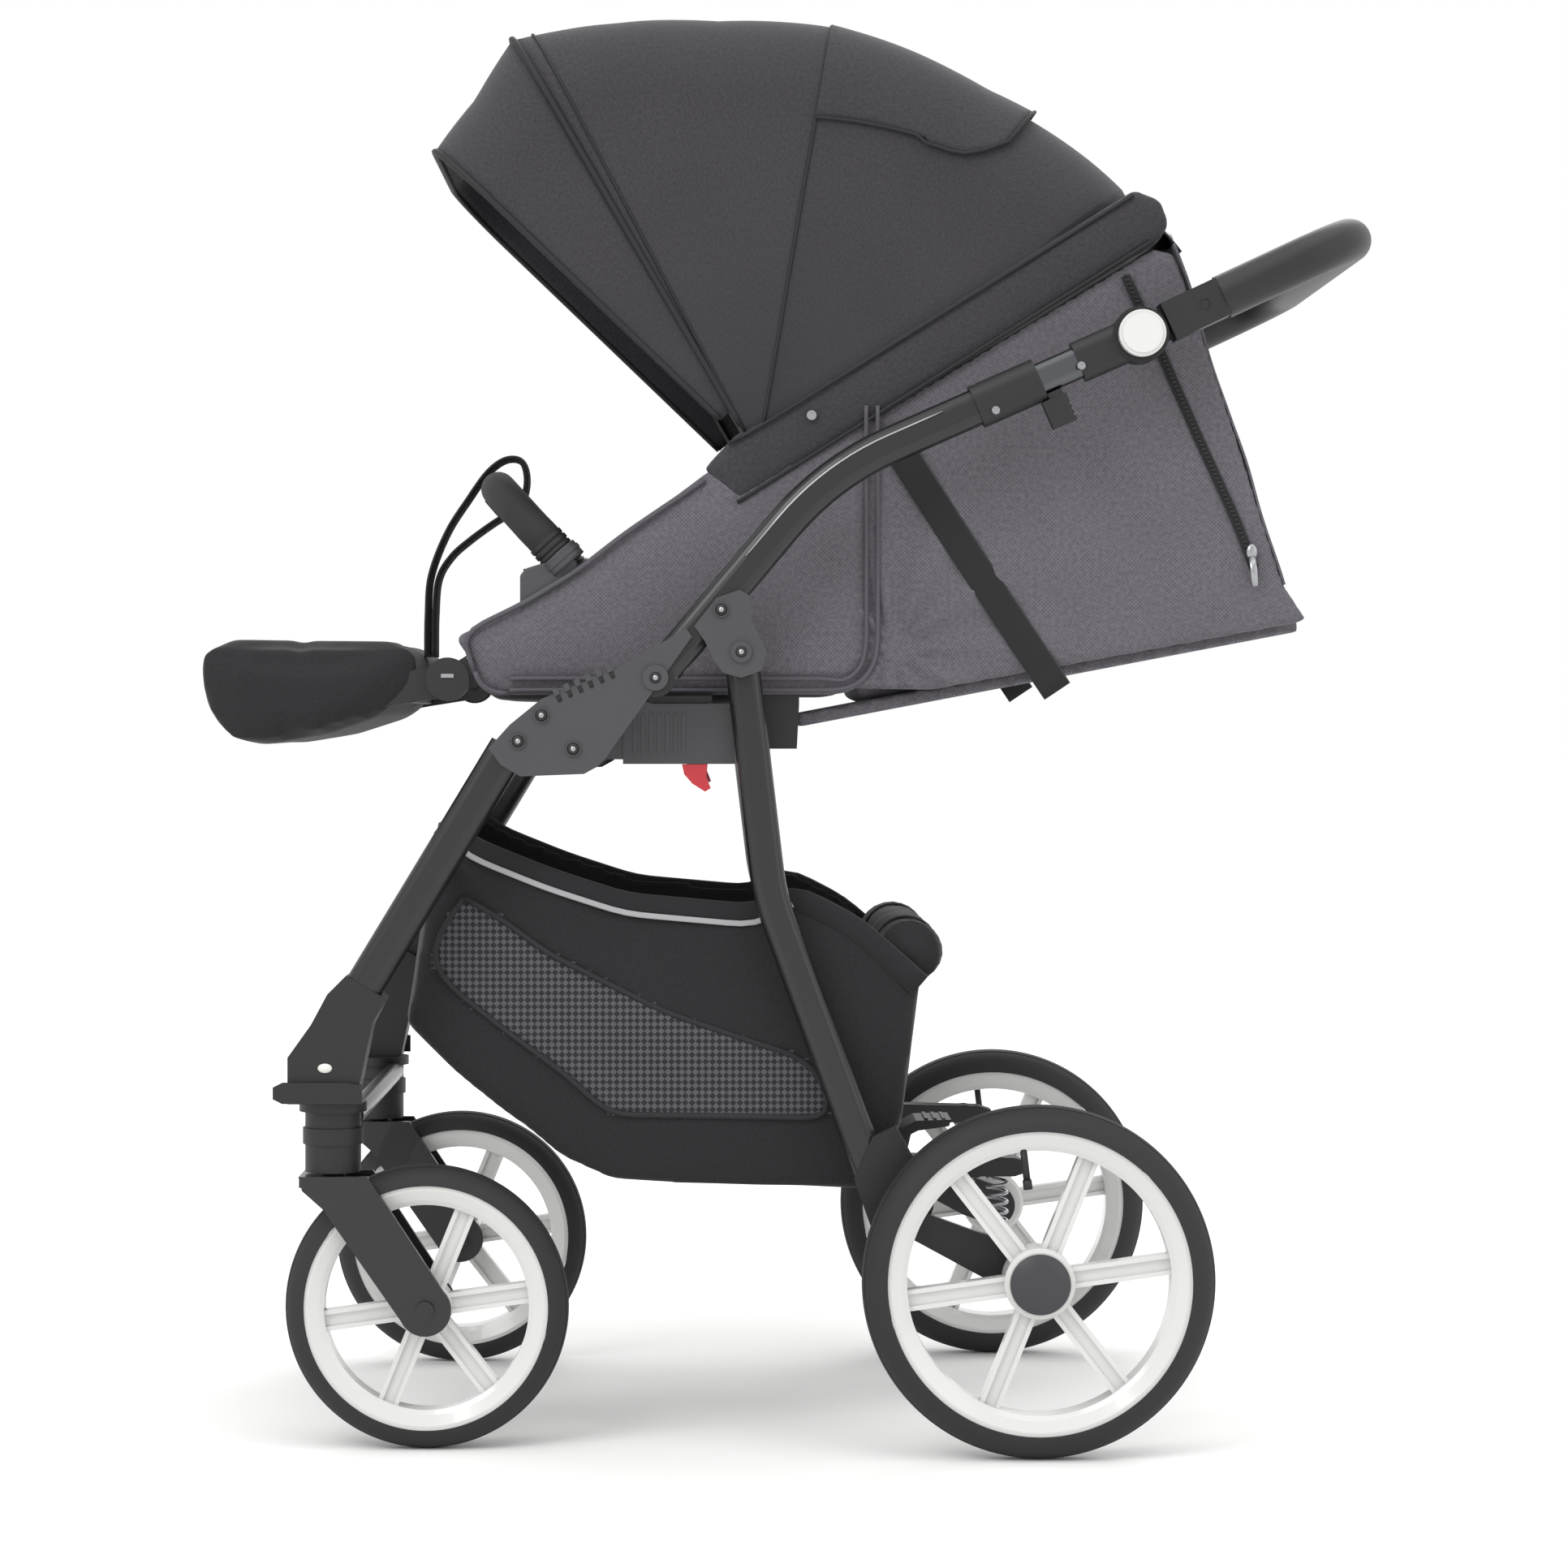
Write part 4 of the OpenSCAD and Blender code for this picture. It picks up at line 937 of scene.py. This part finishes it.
bm = bmesh.new()
tube(bm, [p - 16.0 * MM * Vector((reach_dir.z, 0, -reach_dir.x)) for p in bar_line[4:-4]], 0.7 * MM, 6)
thing("bumper_mould_line", bm, foam, "bumper")

# ---- Harness ----------------------------------------------------------------
# Five-point harness of 25 mm webbing with padded shoulder sleeves and a moulded
# buckle, and a wide crotch strap looped over the bumper bar.


def flat_strap(bm, line, wide, thick=2.0, broad=(0, 1, 0)):
    """Webbing along a line of points."""
    tube(bm, line, wide / 2 * MM, 10, thick / wide, broad=broad)


loop = [(-0.3215, 0, 0.684), (-0.321, 0, 0.722), (-0.318, 0, 0.759), (-0.303, 0, 0.798),
        (-0.284, 0, 0.828), (-0.266, 0, 0.853), (-0.2495, 0, 0.865), (-0.235, 0, 0.8635),
        (-0.230, 0, 0.848), (-0.2335, 0, 0.829), (-0.246, 0, 0.816), (-0.261, 0, 0.8065),
        (-0.281, 0, 0.792), (-0.299, 0, 0.776), (-0.311, 0, 0.755), (-0.314, 0, 0.722), (-0.3145, 0, 0.684)]
bm = bmesh.new()
flat_strap(bm, eased(loop), 50, 6.2)
cut_cloth(bm)
crotch = thing("crotch_strap", bm, webbing)
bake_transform(crotch)

bm = bmesh.new()
hub = Vector((-0.075, 0, 0.704))
for s in (-1, 1):
    flat_strap(bm, eased([on_back(395, 43, s * 52), on_back(300, 46, s * 52), on_back(180, 50, s * 44),
                          on_back(90, 56, s * 26), hub + Vector((0.045, s * 0.016, 0.004))]), 25)
    flat_strap(bm, eased([Vector((-0.02, s * 0.150, 0.684)), Vector((-0.05, s * 0.11, 0.70)),
                          hub + Vector((0.012, s * 0.045, 0.003)), hub + Vector((0.006, s * 0.02, 0.002))]),
               25, 2, (1, 0, 0.1))
flat_strap(bm, eased([Vector((-0.215, 0, 0.686)), Vector((-0.17, 0, 0.697)), hub + Vector((-0.03, 0, 0))]),
           30, 2.4)
webs = thing("harness_webbing", bm, webbing)
bm = bmesh.new()
for s in (-1, 1):
    flat_strap(bm, eased([on_back(375, 47, s * 52), on_back(300, 50, s * 52), on_back(215, 53, s * 47)]),
               48, 13)
bmesh.ops.recalc_face_normals(bm, faces=bm.faces)
cut_cloth(bm)
sleeves = thing("shoulder_sleeves", bm, black_canvas, "backrest")
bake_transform(webs)
bm = bmesh.new()
shell = bmesh.ops.create_cube(bm, size=1)["verts"]
bmesh.ops.scale(bm, verts=shell, vec=(0.052, 0.058, 0.014))
bmesh.ops.translate(bm, verts=shell, vec=hub)
bmesh.ops.bevel(bm, geom=bm.edges[:], offset=5 * MM, segments=4, profile=0.5, affect="EDGES", material=-1)
button = bmesh.ops.create_cone(bm, cap_ends=True, segments=32, radius1=12 * MM, radius2=10.5 * MM,
                               depth=5 * MM)["verts"]
bmesh.ops.translate(bm, verts=button, vec=hub + Vector((0, 0, 0.0085)))
thing("harness_buckle", bm, grey_nylon, "seat")

# ---- Canopy -----------------------------------------------------------------
# One charcoal skin over three wire bows, drawn in between them, with a peak sewn
# to the front bow, a vent flap, bound edges and a drape down to the seat hoop.

bow_pivot = Vector((-0.020, 0, 0.856))
front_angle, mid_angle, rear_angle = 120.3, 80.3, 34.4
peak_angle = 136.4
stations = [(36, 405), (58, 389), (80.3, 390.6), (95, 397), (108, 412), (120.3, 432), (128, 408),
            (136.4, 396)]


def crown_reach(angle):
    """Distance in millimetres from the bow pivot to the crown of the skin."""
    for (a0, r0), (a1, r1) in zip(stations, stations[1:]):
        if angle <= a1:
            return r0 + (r1 - r0) * max(0.0, angle - a0) / (a1 - a0)
    return stations[-1][1]


def slack(angle):
    """How far the cloth is drawn in between two bows, 0 at a bow."""
    for a0, a1, depth in ((rear_angle, mid_angle, 11), (mid_angle, front_angle, 9),
                          (front_angle, peak_angle, 2)):
        if a0 <= angle <= a1:
            return depth * math.sin(math.pi * (angle - a0) / (a1 - a0)) ** 1.0
    return 0.0


def hood_point(angle, share, least, lift=0.0):
    """A point of the skin: share runs -1 to 1 from one lower edge over the crown to the other."""
    reach, half, round_r = crown_reach(angle) + lift, 193.0 + lift, 74.0 + lift
    foot = max(least, min(300, 15 / math.sin(math.radians(angle - 32))))
    side, arc, top = reach - round_r - foot, math.pi / 2 * round_r, half - round_r
    run = (1 - abs(share)) * (side + arc + top)
    if run < side:
        r, y = foot + run, half
        droop = 0.75 * math.sin(math.pi * run / (side + arc))
    elif run < side + arc:
        turned = (run - side) / round_r
        r, y = reach - round_r + round_r * math.sin(turned), half - round_r + round_r * math.cos(turned)
        droop = 0.75 * math.sin(math.pi * run / (side + arc)) + math.sin(turned) * 0.4
    else:
        r, y = reach, half - round_r - (run - side - arc)
        droop = 1.0
    tuck = slack(angle) * min(1.0, droop)
    pinch = tuck * 0.7 if run < side + arc else 0.0
    radial = r - (tuck if run >= side else 0.3 * tuck)
    a = math.radians(angle)
    return bow_pivot + Vector((math.cos(a) * radial * MM, math.copysign((y - pinch) * MM, share),
                               math.sin(a) * radial * MM))


def skin(name, first, last, steps, least, across=96):
    """The cloth between two bow angles as one even sheet."""
    bm = bmesh.new()
    bmesh.ops.create_grid(bm, x_segments=across, y_segments=steps, size=0.5)
    layer = bm.loops.layers.uv.verify()
    plan = {v: (2 * v.co.x, first + (last - first) * (v.co.y + 0.5)) for v in bm.verts}
    for v, (share, angle) in plan.items():
        share = max(-0.99999, min(0.99999, share))
        v.co = hood_point(angle, share, least)
        near_edge = min(1.0, 8 * (1 - abs(share)))
        v.co += 1.6 * MM * near_edge * noise.noise_vector(v.co * 11) * min(1.0, slack(angle) / 4)
    for face in bm.faces:
        for loop in face.loops:
            share, angle = plan[loop.vert]
            loop[layer].uv = (0.53 * share, 0.39 * math.radians(angle))
    made = thing(name, bm, charcoal_canvas)
    wall = made.modifiers.new("cloth_thickness", "SOLIDIFY")
    wall.thickness = 1.6 * MM
    wall.offset = -1
    return made


def cord_over(name, angle, radius, least, lift=0.6, material=piping_cord, body=None, flat=1.0):
    """A bound seam that runs over the skin at one bow angle."""
    bm = bmesh.new()
    line = [hood_point(angle, -0.9999 + 1.9998 * k / 96, least, lift) for k in range(97)]
    tube(bm, line, radius * MM, 8, flat)
    made = thing(name, bm, material, body)
    return made


hood = skin("canopy_skin", 33.8, 120.0, 62, 18)
peak = skin("canopy_peak", 120.4, 136.2, 12, 45)
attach(peak, "front_bow")
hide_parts("canopy_fabric")
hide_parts("canopy_visor")
seams = []
for label, angle in (("mid", 80.3), ("front", 117.8)):
    seams.append(cord_over(f"canopy_seam_{label}", angle, 1.5, 24, 0.4))
front_binding = cord_over("canopy_front_binding", 120.2, 3.0, 30, 1.0, body="front_bow")
peak_binding = cord_over("canopy_peak_binding", 136.2, 3.0, 46, 0.2, body="front_bow")
cord_over("canopy_rear_binding", 33.9, 2.0, 120, 0.6, body="seat")
bm = bmesh.new()
bmesh.ops.create_grid(bm, x_segments=60, y_segments=14, size=0.5)
for v in bm.verts:
    across, down = 2 * v.co.x, 0.5 - v.co.y
    top = hood_point(34.2, 0.66 * across, 120, -1.5)
    foot = Vector((0.349, 0.1935 * across, 1.034))
    v.co = top.lerp(foot, down) + Vector((0.007, 0, 0.003)) * math.sin(math.pi * down)
cut_cloth(bm)
drape = thing("canopy_rear_drape", bm, charcoal_canvas, "seat")
wall = drape.modifiers.new("cloth_thickness", "SOLIDIFY")
wall.thickness = 1.6 * MM

flap_front, flap_rear = 80.3, 51.5


def flap_half(along):
    """Half width of the vent flap as a share, 0 at its rear edge and 1 at the mid bow."""
    rounded = 0.05 * max(0.0, 1 - along / 0.18) ** 2
    return 0.445 + 0.035 * along - rounded


bm = bmesh.new()
bmesh.ops.create_grid(bm, x_segments=60, y_segments=24, size=0.5)
for v in bm.verts:
    across, along = 2 * v.co.x, v.co.y + 0.5
    angle = flap_rear + (flap_front - flap_rear) * along
    lift = 2.4 + 7 * (1 - along) ** 2 * (1 - 0.5 * abs(across))
    v.co = hood_point(angle, flap_half(along) * across, 18, lift)
    v.co += Vector((0, 0, 1.4 * MM * noise.noise(v.co * 15)))
cut_cloth(bm)
vent = thing("canopy_vent_flap", bm, charcoal_canvas)
wall = vent.modifiers.new("cloth_thickness", "SOLIDIFY")
wall.thickness = 1.6 * MM
rim_points = [(1, 1 - k / 14) for k in range(14)] + [(1 - 2 * k / 30, 0) for k in range(31)]
rim_points += [(-1, (k + 1) / 14) for k in range(14)]
bm = bmesh.new()
tube(bm, [hood_point(flap_rear + (flap_front - flap_rear) * along, flap_half(along) * across, 18,
                     2.6 + 7 * (1 - along) ** 2 * (1 - 0.5 * abs(across)))
          for across, along in rim_points], 1.7 * MM, 8)
vent_edge = thing("canopy_vent_binding", bm, piping_cord)
for piece in (hood, *seams, vent, vent_edge):
    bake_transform(piece)

# ---- Canopy band ------------------------------------------------------------
# A double strip of the canopy canvas wraps each side of the hoop, bound along both
# edges and held to the bow hub by a press stud.

band_line = [(-66, 846), (-61, 836), (-43, 812), (-34, 812), (292, 1020), (328, 1041), (338, 1057),
             (331, 1078), (308, 1088), (0, 895), (-40, 874)]
bm = crowned(even_cover(band_line, 180, 199.5, 5), band_line, 3.0, 0.012)
both_sides(bm)
pad("canopy_band_wrap", bm, charcoal_canvas, "seat", "canopy_band")
bm = bmesh.new()
for s in (-1, 1):
    for line in ([(-46, 866), (-30, 874), (0, 892), (306, 1082)], [(-38, 815), (292, 1023), (322, 1042)]):
        tube(bm, [Vector((p.x * MM, s * 0.2005, p.z * MM)) for p in follow(line)], 1.8 * MM, 8)
thing("canopy_band_binding", bm, piping_cord, "seat")
bm = bmesh.new()
for s in (-1, 1):
    screw(bm, Vector((0.0265, s * 0.2040, 0.8905)), s, 5.2 * MM)
thing("band_press_studs", bm, zinc, "seat", smooth=False)
